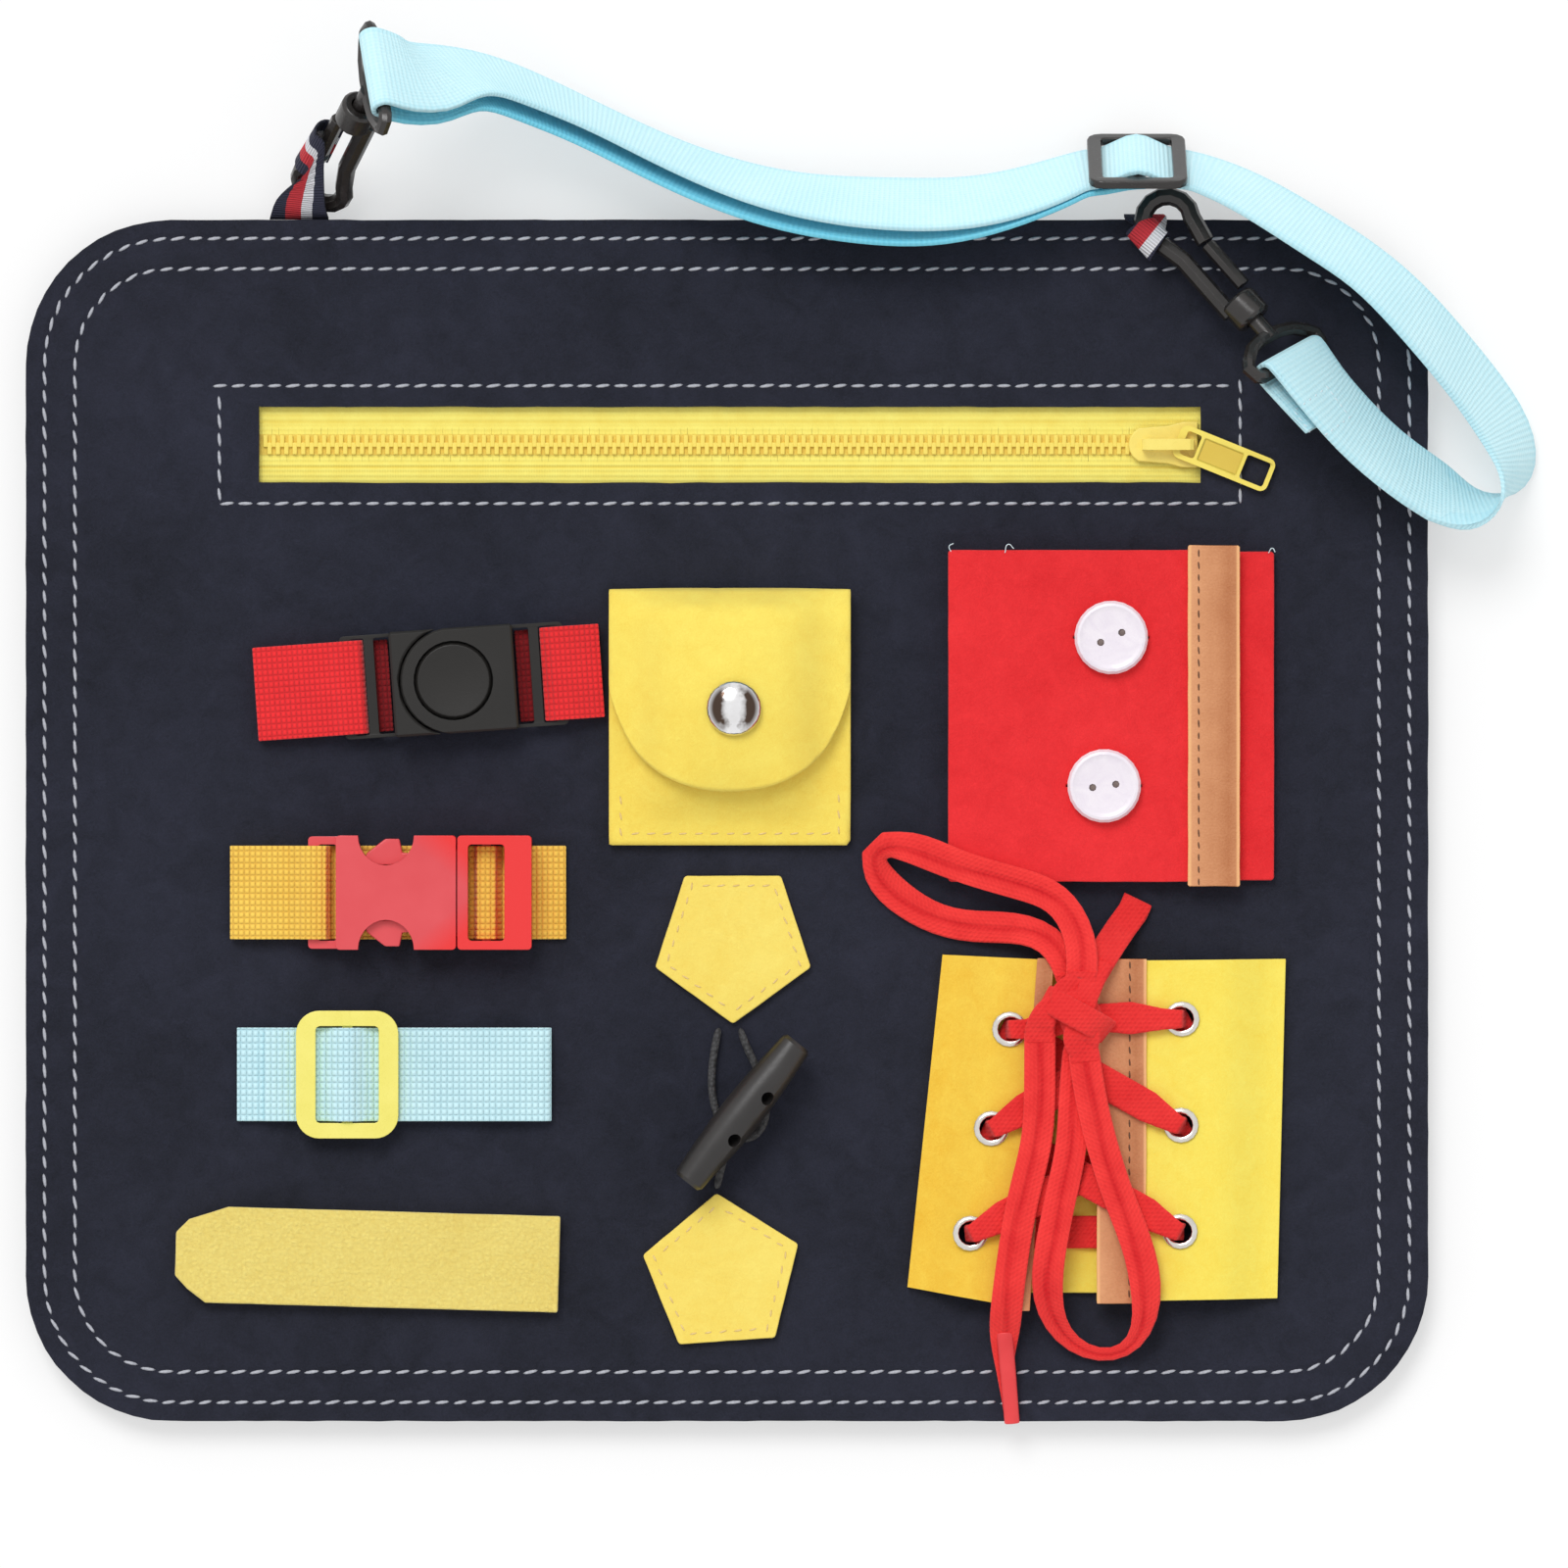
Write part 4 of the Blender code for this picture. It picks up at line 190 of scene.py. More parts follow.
table = bmesh.new()
bmesh.ops.create_grid(table, x_segments=2, y_segments=2, size=table_width / 2)
bmesh.ops.translate(table, verts=table.verts, vec=(0, 0, -table_drop))
table_mesh = bpy.data.meshes.new("table_top")
table.to_mesh(table_mesh)
table_top = placed("table_top", table_mesh)
paper = Finish("table_paper", roughness=0.9, specular_ior_level=0.1)
paper.tint(paper.grain(paper.place(), 0.3), white, (0.98, 0.98, 0.98, 1))
shown = paper.add("ShaderNodeLightPath", {}, {}, shown_rays[0])
for kind in shown_rays[1:]:
    shown = shown.sum("MAXIMUM", shown, paper.add("ShaderNodeLightPath", {}, {}, kind))
glow = paper.add("ShaderNodeEmission", {}, {"Color": white, "Strength": 1})
bare = Line(paper, paper.surface.outputs["BSDF"])
lit = paper.add("ShaderNodeMixShader", {}, {0: shown * table_glow, 1: bare, 2: glow})
paper.links.new(lit.socket, paper.nodes["Material Output"].inputs["Surface"])
table_mesh.materials.append(paper.material)

sky = bpy.data.worlds.new("studio")
sky.use_nodes = True
air = sky.node_tree
ray = air.nodes.new("ShaderNodeLightPath")
joined = ray.outputs[shown_rays[0]]
for kind in shown_rays[1:]:
    either = air.nodes.new("ShaderNodeMath")
    either.operation = "MAXIMUM"
    air.links.new(joined, either.inputs[0])
    air.links.new(ray.outputs[kind], either.inputs[1])
    joined = either.outputs[0]
level = air.nodes.new("ShaderNodeMapRange")
level.inputs["To Min"].default_value = fill_strength
level.inputs["To Max"].default_value = 1
air.links.new(joined, level.inputs["Value"])
backing = air.nodes["Background"]
backing.inputs["Color"].default_value = white
air.links.new(level.outputs["Result"], backing.inputs["Strength"])
bpy.context.scene.world = sky

lamp = bpy.data.lights.new("window", "SUN")
lamp.energy = lamp_strength
lamp.angle = math.radians(28)
placed("window", lamp).rotation_euler = (math.radians(-34), math.radians(-16), 0)

# Board: two panels of thick navy felt, cut together with round corners and sewn twice round
# the edge. The front one has a window for the zip.

merge_gap = 0.00001
felt_edge = 0.0005
edge_waver = 0.00018
board_size = (0.300, 0.257)
board_corner = 0.031
board_top = 0.0063
outer_row = 0.0040
inner_row = 0.0105
stitch_pitch = 0.0039
stitch_length = 0.0033
stitch_thick = 0.00075
stitch_slant = 9
back_sink = 0.00015
random.seed(7)
noise.seed_set(7)


def solid_of(*names):
    """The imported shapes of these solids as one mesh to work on, with no doubled corners."""
    made = bmesh.new()
    for name in names:
        made.from_mesh(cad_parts[name].data)
    bmesh.ops.remove_doubles(made, verts=made.verts, dist=merge_gap)
    for face in made.faces:
        face.material_index = 0
    return made


def whole_quads(made, bend=180):
    """Puts the four-sided faces of a grid together again from their triangles."""
    bmesh.ops.join_triangles(made, faces=made.faces, angle_face_threshold=math.radians(bend),
                             angle_shape_threshold=math.radians(bend))
    return made


def flat_faces(made):
    """Puts the flat faces together again from their triangles."""
    bmesh.ops.dissolve_limit(made, angle_limit=math.radians(0.5), verts=made.verts, edges=made.edges)
    return made


def round_edges(made, width, segments=2, angle=40):
    """Rolls over the sharp edges."""
    sharp = [edge for edge in made.edges if edge.is_manifold and edge.calc_face_angle() > math.radians(angle)]
    bmesh.ops.bevel(made, geom=sharp, offset=width, offset_type="OFFSET", segments=segments, profile=0.5,
                    affect="EDGES", material=-1, clamp_overlap=True)
    return made


def waver(made, amount, step):
    """Felt is never cut quite straight: its edges run in and out a little."""
    while True:
        long_edges = [edge for edge in made.edges if edge.calc_length() > 1.6 * step]
        if not long_edges:
            break
        bmesh.ops.subdivide_edges(made, edges=long_edges, cuts=1)
    for corner in made.verts:
        push = noise.noise_vector(Vector((corner.co.x, corner.co.y, 0)) * 0.5 / step) * amount
        corner.co += Vector((push.x, push.y, 0))
    return made


def finished(name, made, finish, body="board", replaces=(), even=True):
    """Makes the piece in its finish, on its body, in place of the solids it stands for."""
    mesh = bpy.data.meshes.new(name)
    made.to_mesh(mesh)
    made.free()
    mesh.materials.append(finish.material)
    mesh.shade_smooth()
    piece = placed(name, mesh)
    if even:
        piece.modifiers.new("Flat faces stay flat", "WEIGHTED_NORMAL").keep_sharp = True
    if body:
        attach(piece, body)
    if replaces:
        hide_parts(*replaces)
    return piece


def cut(name, node, finish, edge, body="board", run=0.00008, step=0.003):
    """A cut sheet keeps its solid's outline, with a wavering edge that is a little rolled over."""
    made = waver(flat_faces(solid_of(node)), run, step)
    return finished(name, round_edges(made, edge), finish, body, [node])


def softened(piece, levels):
    """Rounds a piece that is made of four-sided faces."""
    soft = piece.modifiers.new("Soft", "SUBSURF")
    soft.levels = levels
    soft.render_levels = levels


def felt(name, pale, dark, fibre=0.0009, depth=0.0002, fluff=0.1, rows=()):
    """Pressed wool: matted fibres in every direction, a little patchy, with no shine."""
    cloth = Finish(name, roughness=0.95, specular_ior_level=0.15, sheen_weight=fluff, sheen_roughness=0.6)
    spot = cloth.place()
    hairs = cloth.grain(spot, fibre, 5, 0.75, 2.5)
    matted = cloth.grain(spot, fibre * 6, 3, 0.6, 0.8)
    worn = cloth.grain(spot, 0.05, 3)
    shade = (hairs - 0.5) * 1.5 + (matted - 0.5) * 0.8 + (worn - 0.5) * 0.9 + 0.5
    cloth.tint(shade.clipped(), dark, pale)
    height = hairs * 0.7 + matted * 0.3
    for inset in rows:
        height = height + row_dip(cloth, spot, inset)
    cloth.relief(height, depth)
    return cloth


def row_dip(cloth, spot, inset, depth=0.9, width=0.0011):
    """The furrow that a row of stitches pulls in the felt, this far inside the board's edge."""
    x, y, z = cloth.parts(spot)
    out_x = x.size() - (board_size[0] / 2 - board_corner)
    out_y = y.size() - (board_size[1] / 2 - board_corner)
    past_x = out_x.sum("MAXIMUM", out_x, 0)
    past_y = out_y.sum("MAXIMUM", out_y, 0)
    round_part = x.sum("SQRT", past_x * past_x + past_y * past_y)
    straight = out_x.sum("MINIMUM", out_x.sum("MAXIMUM", out_x, out_y), 0)
    edge = round_part + straight - board_corner + inset
    near = 1 - edge.size() / width
    return near.clipped() * -depth


def thread(name, dark, pale, ply=0.0005, gloss=0.6, depth=0):
    """Sewing thread, with the light and dark of its plies."""
    yarn = Finish(name, roughness=gloss)
    plies = yarn.grain(yarn.place(), ply, 2)
    yarn.tint(plies, dark, pale)
    if depth:
        yarn.relief(plies, depth)
    return yarn


navy = felt("navy_felt", seen(46, 48, 63), seen(22, 24, 33), 0.0011, 0.00035, 0.08, (outer_row, inner_row))
for side in ("back", "front"):
    cut(side + "_felt", side + "_panel", navy, felt_edge, run=edge_waver)
thread_grey = thread("grey_thread", seen(138, 140, 151), seen(206, 208, 216), 0.0006, depth=0.0001)


def along(route, pitch, closed=False):
    """Evenly spaced spots along a route of points, with the way ahead at each."""
    points = [Vector(point) for point in route]
    if closed:
        points.append(points[0])
    spots = []
    left = pitch / 2
    for start, end in zip(points, points[1:]):
        length = (end - start).length
        while left <= length:
            spots.append((start.lerp(end, left / length), (end - start).normalized()))
            left += pitch
        left -= length
    return spots


def sew(name, route, yarn, body="board", pitch=stitch_pitch, length=stitch_length, thick=stitch_thick,
        closed=False, over=None, slant=stitch_slant):
    """A row of machine stitches, each half sunk in the cloth and dipping at both ends."""
    made = bmesh.new()
    for middle, ahead in along(route, pitch, closed):
        up = Vector((0, 0, 1))
        if over:
            hit, normal, index, distance = over.ray_cast(Vector((middle.x, middle.y, 1)), -up)
            if hit is None:
                continue
            middle, up = hit, normal
        across = up.cross(ahead).normalized()
        flat = across.cross(up)
        stand = Matrix((flat, across, up)).transposed().to_4x4()
        turn = Matrix.Rotation(math.radians(slant + random.uniform(-4, 4)), 4, "Z")
        stretch = length * random.uniform(0.9, 1.06)
        shape = Matrix.Diagonal((stretch / 2, thick / 2, thick * 0.42, 1))
        bmesh.ops.create_uvsphere(made, u_segments=8, v_segments=4, radius=1,
                                  matrix=Matrix.Translation(middle) @ stand @ turn @ shape)
    return finished(name, made, yarn, body, even=False)


def round_row(half_x, half_y, corner, height, steps=10):
    """A closed route round a rectangle with round corners."""
    turns = [(1, 1, 0), (-1, 1, 90), (-1, -1, 180), (1, -1, 270)]
    return [
        (side * (half_x - corner) + corner * math.cos(math.radians(start + 90 * step / steps)),
         up * (half_y - corner) + corner * math.sin(math.radians(start + 90 * step / steps)), height)
        for side, up, start in turns
        for step in range(steps + 1)
    ]


for label, inset in (("outer", outer_row), ("inner", inner_row)):
    for face, height in (("", board_top), ("_back", back_sink)):
        row = round_row(board_size[0] / 2 - inset, board_size[1] / 2 - inset, board_corner - inset, height)
        sew(label + face + "_stitches", row, thread_grey, closed=True)

# Zip: yellow woven tape with moulded teeth, sewn behind the window by one square row of
# stitches. The slider and its pull are enamelled metal.

zip_middle = (0.0006, 0.0804)
zip_sewing = (0.1092, 0.0126)
teeth_reach = 0.0037
tape_rib = 0.0011
tape_level = 0.0046
fold_out = 0.0048
fold_width = 0.0005
tooth_foot = 0.0042
teeth_run = (-0.0988, 0.0870)
tooth_pitch = 0.0018
tooth_size = (0.0010, 0.0026, 0.0010)
tooth_out = 0.0008
tooth_middle_z = 0.0049
tape_edge = 0.00006
lining_size = (0.2032, 0.0066)
lining_x = 0.0004
lining_z = 0.0033
lining_thick = 0.0001
core_size = (0.2032, 0.0044)
core_z = 0.0047
pull_turn = 22
pull_face = (0.0046, 0.0026)
pull_face_x = -0.0008
pull_rim = 0.0004

zip_cloth = Finish("zip_tape", roughness=0.85)
zip_spot = zip_cloth.place()
tape_x, tape_y, tape_z = zip_cloth.parts(zip_spot)
tape_wave = tape_y.ripple(tape_rib)
tape_weft = tape_x.ripple(tape_rib / 2)
from_teeth = (tape_y - zip_middle[1]).size()
# Painted shade: each tape is darker along a fold line 4.8 mm out from the teeth. The same mask also sinks
# that line in the bump.
fold_and_shade = (1 - (from_teeth - fold_out).size() / fold_width).clipped()
tape_shade = (zip_cloth.grain(zip_spot, 0.004) - 0.5) * 0.8 + tape_wave * 0.10 + 0.6 - fold_and_shade * 0.4
zip_cloth.tint(tape_shade.clipped(), seen(240, 212, 84), seen(255, 246, 130))
zip_cloth.relief(tape_wave * 0.4 + tape_weft * 0.2 - fold_and_shade, 0.00010)
zip_teeth = Finish("zip_teeth", roughness=0.35)
teeth_spot = zip_teeth.place()
tooth_z = zip_teeth.parts(teeth_spot)[2]
# Painted shade: each tooth is paler at its top and darker down towards its foot on the tape.
tooth_top_light = ((tooth_z - tooth_foot) / 0.0012).clipped()
zip_teeth.tint(tooth_top_light, seen(226, 186, 72), seen(247, 222, 100))
zip_teeth.relief(zip_teeth.grain(teeth_spot, 0.0008), 0.00008)
zip_coil = Finish("zip_coil", roughness=0.6)
coil_grain = zip_coil.grain(zip_coil.place(), 0.0007, 3)
zip_coil.tint(coil_grain, seen(222, 180, 66), seen(246, 224, 98))
zip_coil.relief(coil_grain, 0.0001)
for side in ("upper", "lower"):
    tape = flat_faces(solid_of("zip_tape_" + side))
    for corner in tape.verts:
        if abs(corner.co.y - zip_middle[1]) < teeth_reach:
            corner.co.z = min(corner.co.z, tape_level)
    finished("zip_" + side, round_edges(tape, tape_edge, 1), zip_cloth,
             replaces=["zip_tape_" + side])
    up = 1 if side == "upper" else -1
    teeth = bmesh.new()
    at = teeth_run[0] + (tooth_pitch / 2 if side == "lower" else 0)
    while at < teeth_run[1]:
        tooth = bmesh.ops.create_cube(teeth, size=1)["verts"]
        bmesh.ops.scale(teeth, verts=tooth, vec=tooth_size)
        bmesh.ops.translate(teeth, verts=tooth, vec=(at, zip_middle[1] + up * tooth_out, tooth_middle_z))
        at += tooth_pitch
    finished("zip_teeth_" + side, round_edges(teeth, 0.0002), zip_teeth)
for name, size, height, cloth in (("zip_lining", lining_size, lining_z, zip_cloth),
                                  ("zip_core", core_size, core_z, zip_coil)):
    lining = bmesh.new()
    bmesh.ops.create_grid(lining, x_segments=60, y_segments=4, size=0.5)
    bmesh.ops.scale(lining, verts=lining.verts, vec=(size[0], size[1], 1))
    bmesh.ops.translate(lining, verts=lining.verts, vec=(lining_x, zip_middle[1], height))
    bmesh.ops.solidify(lining, geom=lining.faces, thickness=lining_thick)
    finished(name, lining, cloth)
square = [(zip_middle[0] + side * zip_sewing[0], zip_middle[1] + up * zip_sewing[1], board_top)
          for side, up in ((-1, -1), (-1, 1), (1, 1), (1, -1))]
sew("zip_stitches", square, thread_grey, closed=True, slant=5)


def enamel(name, pale, dark, gloss, cloud=0.0096, wear=0.0012, swing=0.25, pits=0.0018, depth=0.00005,
           strength=0.5, **plain):
    """A hard coloured surface with faint unevenness."""
    coat = Finish(name, roughness=gloss, **plain)
    spot = coat.place()
    coat.tint(coat.grain(spot, cloud, 3), dark, pale)
    coat.worn(spot, wear, swing, gloss)
    coat.relief(coat.grain(spot, pits, 2), depth, strength)
    return coat


def moulded(name, finish, edge, segments=2):
    """A hard part keeps its solid: its edges are eased and it gets its real surface."""
    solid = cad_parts[name]
    solid.data.materials.clear()
    solid.data.materials.append(finish.material)
    solid.data.shade_smooth()
    weld = solid.modifiers.new("Whole", "WELD")
    weld.merge_threshold = merge_gap
    ease = solid.modifiers.new("Eased edges", "BEVEL")
    ease.width = edge
    ease.segments = segments
    ease.limit_method = "ANGLE"
    ease.angle_limit = math.radians(32)
    solid.modifiers.new("Flat faces stay flat", "WEIGHTED_NORMAL").keep_sharp = False


moulded("zip_slider", enamel("slider_enamel", seen(255, 238, 128), seen(242, 212, 92), 0.3), 0.0002)
pull_box = [Vector(corner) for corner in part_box("zip_pull")]
pull_middle = Matrix.Rotation(math.radians(pull_turn), 3, "Z") @ ((pull_box[0] + pull_box[1]) / 2)
pull_enamel = Finish("pull_enamel", roughness=0.3)
pull_spot = pull_enamel.place(pull_turn)
pull_u, pull_v, pull_w = pull_enamel.parts(pull_spot)
in_length = pull_face[0] - (pull_u - (pull_middle.x + pull_face_x)).size()
in_width = pull_face[1] - (pull_v - pull_middle.y).size()
# Painted shade: the pull's sunk face inside its raised rim is darker. The same mask also sinks it in the
# bump.
recess_and_shade = (in_length / pull_rim).clipped() * (in_width / pull_rim).clipped()
pull_shade = pull_enamel.mix(pull_enamel.grain(pull_spot, 0.01, 3), seen(240, 212, 82), seen(253, 236, 112))
pull_enamel.tint(recess_and_shade * 0.6, pull_shade, seen(206, 166, 46))
pull_enamel.relief(1 - recess_and_shade, 0.0004)
moulded("zip_pull", pull_enamel, 0.0003)

# Centre-release buckle: satin black plastic, a tongue held in a housing by a round button,
# on red webbing that is folded round a bar at each end and sewn down.

buckle_turn = 4
buckle_place = (-0.0584, 0.0299, 0)
slot_strap = (0.0046, 0.0196, 0.0010)
slot_strap_x = 0.0159
slot_strap_z = 0.0073


def webbing(name, pale, dark, turn, cell):
    """Woven strap: short floats in even rows and columns."""
    cloth = Finish(name, roughness=0.8, specular_ior_level=0.25, sheen_weight=0.2)
    x, y, z = cloth.parts(cloth.place(turn))
    step, row = x / cell[0], y / cell[1]
    floats = [way.sum("SINE", way.sum("FRACT", way) * math.pi) for way in (step, row)]
    pick = floats[0].sum("POWER", floats[0] * floats[1], 0.6)
    yarn = cloth.grain(cloth.place(), 0.0004, 2)
    patch = cloth.grain(cloth.place(), 0.012, 3)
    shade = pick * 0.42 + (yarn - 0.5) * 0.4 + (patch - 0.5) * 0.5 + 0.5
    cloth.tint(shade.clipped(), dark, pale)
    cloth.relief(pick + yarn * 0.25, 0.0003)
    return cloth


def strap_piece(name, node, finish, body="board", edge=0.0003):
    """Webbing keeps its solid's folds, with the rolled edges of real selvedge."""
    made = round_edges(flat_faces(solid_of(node)), edge, 2, 50)
    return finished(name, made, finish, body, [node])


black = enamel("satin_black", seen(38, 36, 34), seen(24, 23, 22), 0.42, 0.02, 0.0011, 0.2, 0.0005, 0.00004,
               0.6, specular_ior_level=0.3)
for name in ("centre_buckle_tongue", "centre_buckle_housing", "centre_buckle_button"):
    moulded(name, black, 0.0004)
red_strap = webbing("red_webbing", seen(250, 46, 50), seen(178, 18, 26), -4, (0.0011, 0.0013))
left_red = strap_piece("red_strap_left", "red_webbing_left", red_strap, None)
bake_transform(left_red)
strap_piece("red_strap_right", "red_webbing_right", red_strap)
red_shaded = webbing("red_webbing_shaded", seen(150, 20, 28), seen(92, 6, 14), -4, (0.0011, 0.0013))
for side, body in ((-1, "centre_tongue"), (1, "board")):
    under = bmesh.new()
    bmesh.ops.create_cube(under, size=1)
    bmesh.ops.subdivide_edges(under, edges=under.edges, cuts=3, use_grid_fill=True)
    bmesh.ops.scale(under, verts=under.verts, vec=slot_strap)
    bmesh.ops.translate(under, verts=under.verts, vec=(side * slot_strap_x, 0, slot_strap_z))
    bmesh.ops.rotate(under, verts=under.verts, cent=(0, 0, 0),
                     matrix=Matrix.Rotation(math.radians(buckle_turn), 3, "Z"))
    bmesh.ops.translate(under, verts=under.verts, vec=buckle_place)
    finished("red_strap_under_" + body, round_edges(under, 0.0003), red_shaded, body)

# Side-release buckle: bright red plastic, slightly clear, its plug held in the socket by two
# sprung arms. It joins two ends of yellow webbing.

squeeze_y = -0.0154
red_plastic = Finish("red_plastic", roughness=0.3)
red_spot = red_plastic.place()
plastic_x, plastic_y, plastic_z = red_plastic.parts(red_spot)
# Painted sheen: the buckle is paler pink along its middle line and towards its left end, and deeper red
# towards its edges and right end.
from_middle = (plastic_y - squeeze_y).size()
sheen_fade = ((from_middle - 0.0035) / 0.0070 + (plastic_x + 0.0585) / 0.0050 * 0.6).clipped()
cloud = red_plastic.mix(red_plastic.grain(red_spot, 0.016, 3), seen(213, 60, 67), seen(229, 86, 92))
red_plastic.tint(sheen_fade, cloud, seen(234, 44, 44))
red_plastic.worn(red_spot, 0.001, 0.2, 0.32)
red_plastic.relief(red_plastic.grain(red_spot, 0.0009, 2), 0.00004, 0.5)
for name in ("side_buckle_socket", "side_buckle_plug", "side_buckle_arm_upper", "side_buckle_arm_lower"):
    moulded(name, red_plastic, 0.00035)
yellow_strap = webbing("yellow_webbing", seen(255, 212, 92), seen(214, 142, 26), 0, (0.0012, 0.0013))
strap_piece("yellow_strap_left", "yellow_webbing_left", yellow_strap)
right_yellow = strap_piece("yellow_strap_right", "yellow_webbing_right", yellow_strap, None)
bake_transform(right_yellow)

# Webbing slide: a smooth yellow plastic ring on pale blue webbing, which is folded back at
# its left end.

slide_plastic = enamel("slide_plastic", seen(250, 240, 130), seen(232, 220, 96), 0.28)
moulded("webbing_slide", slide_plastic, 0.0005, 3)
blue_strap = webbing("blue_webbing", seen(212, 247, 254), seen(150, 202, 216), 0, (0.0013, 0.0014))
strap_piece("blue_strap", "blue_webbing", blue_strap)

# Hook-and-loop strap: a soft loop tape that folds back from its right end, on a hook tape
# sewn to the board.

strap_turn = -1.6


def napped(name, pale, dark, size, depth):
    """Tape with a raised nap of tiny loops or hooks in rows."""
    cloth = Finish(name, roughness=0.9, sheen_weight=0.4)
    spot = cloth.place(-strap_turn)
    cells = cloth.add("ShaderNodeTexVoronoi", {}, {"Vector": spot, "Scale": 1 / size, "Randomness": 0.7})
    fuzz = cloth.grain(spot, size * 0.6, 4, 0.7, 1.5)
    patch = cloth.grain(spot, 0.02)
    shade = (fuzz - 0.5) * 1.2 + (patch - 0.5) * 0.6 + 0.75 - cells * 0.5
    cloth.tint(shade.clipped(), dark, pale)
    cloth.relief(fuzz - cells * 0.8, depth)
    return cloth


hook_tape = napped("hook_tape", seen(252, 228, 118), seen(214, 178, 66), 0.0012, 0.0005)
loop_tape = napped("loop_tape", seen(255, 236, 134), seen(236, 206, 98), 0.0009, 0.0003)
strap_piece("hook_tape_strip", "hook_strip", hook_tape)
loop_piece = cut("loop_tape_flap", "loop_flap", loop_tape, 0.0004, None, 0.0001)
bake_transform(loop_piece)

# Snap pocket: a pouch of yellow felt sewn on three sides in yellow thread, and a flap with a
# wide round end that is held by a chromed press stud.

pocket_sides = (-0.0227, 0.0239)
pocket_rows = (0.0060, -0.0028)
small_pitch = 0.0034
small_length = 0.0020
small_thick = 0.00045
dome_place = (0.0015, 0.0240)


def bent_felt(name, node, finish, body="board"):
    """Felt that bulges: the solid's grid is made whole, smoothed once and kept soft."""
    made = whole_quads(solid_of(node), 60)
    rim = made.edges.layers.float.new("crease_edge")
    for edge in made.edges:
        if edge.is_manifold and edge.calc_face_angle() > math.radians(50):
            edge[rim] = 0.75
    piece = finished(name, made, finish, body, [node], even=False)
    softened(piece, 2)
    return piece


def surface_of(piece):
    """The piece's real surface, for setting things on it."""
    bpy.context.view_layer.update()
    return BVHTree.FromObject(piece, bpy.context.evaluated_depsgraph_get())


yellow_felt = felt("pocket_felt", seen(255, 236, 112), seen(246, 212, 84))
pouch = bent_felt("pocket_bag", "pocket_pouch", yellow_felt)
flap = bent_felt("pocket_cover", "pocket_flap", yellow_felt, None)
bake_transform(flap)
thread_yellow = thread("yellow_thread", seen(206, 170, 92), seen(250, 226, 160))
pouch_row = [(pocket_sides[side], pocket_rows[low], 0) for side, low in ((0, 0), (0, 1), (1, 1), (1, 0))]
sew("pocket_stitches", pouch_row, thread_yellow, pitch=small_pitch, length=small_length,
    thick=small_thick, over=surface_of(pouch))
chrome = Finish("chrome", roughness=0.12, metallic=1.0)
chrome_spot = chrome.place()
dome_x, dome_y, dome_z = chrome.parts(chrome_spot)
out_x = dome_x - dome_place[0]
out_y = dome_y - dome_place[1]
out = out_x.sum("SQRT", out_x * out_x + out_y * out_y)
# Painted reflection: dark brown patches on a ring round the dome's middle, to its left and right, stand for
# dark surroundings mirrored in the chrome.
reflection_ring = (1 - (out - 0.0036).size() / 0.0022).clipped()
reflection_streak = (out_x.size() / 0.0020 - 0.5 + (chrome.grain(chrome_spot, 0.0022, 2) - 0.5) * 2).clipped()
bright = chrome.mix(chrome.grain(chrome_spot, 0.004), seen(214, 212, 212), seen(246, 246, 248))
chrome.tint((reflection_ring * reflection_streak * 1.6).clipped(), bright, seen(78, 64, 56))
chrome.worn(chrome_spot, 0.0015, 0.16, 0.14)
for name in ("snap_cap", "snap_stud"):
    moulded(name, chrome, 0.0002)

# Toggle: a turned black toggle through a loop of black cord, each end of the cord held under
# a five-sided patch of yellow felt.

patch_side = 0.0206
patch_inset = 0.0021
patch_reach = patch_side / (2 * math.sin(math.radians(36)))
patch_top = 0.0081
patches = (("upper", (0.0013, -0.0260), -90), ("lower", (-0.0010, -0.0972), 94))

patch_felt = felt("patch_felt", seen(255, 234, 120), seen(246, 212, 90))
for label, centre, turn in patches:
    cut("patch_" + label, "toggle_patch_" + label, patch_felt, 0.0003, step=0.002)
    reach = patch_reach - patch_inset / math.cos(math.radians(36))
    row = [(centre[0] + reach * math.cos(math.radians(turn + 72 * corner)),
            centre[1] + reach * math.sin(math.radians(turn + 72 * corner)), patch_top)
           for corner in range(5)]
    sew("patch_stitches_" + label, row, thread_yellow, pitch=0.0032, length=0.0018,
        thick=small_thick, closed=True)
cord_black = Finish("black_cord", roughness=0.75)
cord_spot = cord_black.place()
braid = cord_black.add("ShaderNodeTexVoronoi", {}, {"Vector": cord_spot, "Scale": 1 / 0.0008})
cord_black.tint(braid, seen(78, 78, 80), seen(26, 26, 28))
cord_black.relief(1 - braid, 0.0003)
for name in ("toggle_loop_cord", "toggle_stem_cord"):
    made = whole_quads(solid_of(name), 60)
    softened(finished(name + "_braid", made, cord_black, "board", [name], even=False), 1)
toggle_finish = enamel("toggle_black", seen(46, 43, 42), seen(24, 22, 22), 0.4)
moulded("toggle_bar", toggle_finish, 0.0003)

# Button panel: an over flap of red felt with a tan edging and two slits for buttons, on an
# under flap that the two pearl buttons are sewn to.

button_places = ((0.0821, 0.0391), (0.0806, 0.0074))
slit_reach = 0.0095
slit_half = 0.0018
slit_closed = 0.25
slit_drawn = 0.9
button_holes = ((0.0799, 0.0382), (0.0846, 0.0402), (0.0783, 0.0072), (0.0833, 0.0078))
hole_thread = (0.0009, 0.0009, 0.0005)
hole_thread_z = 0.0126
tan_row_x = 0.1008
panel_top_y = 0.0584
panel_low_y = -0.0137
tan_top = 0.0120
edging_stitch = (0.0026, 0.0017, 0.0004)

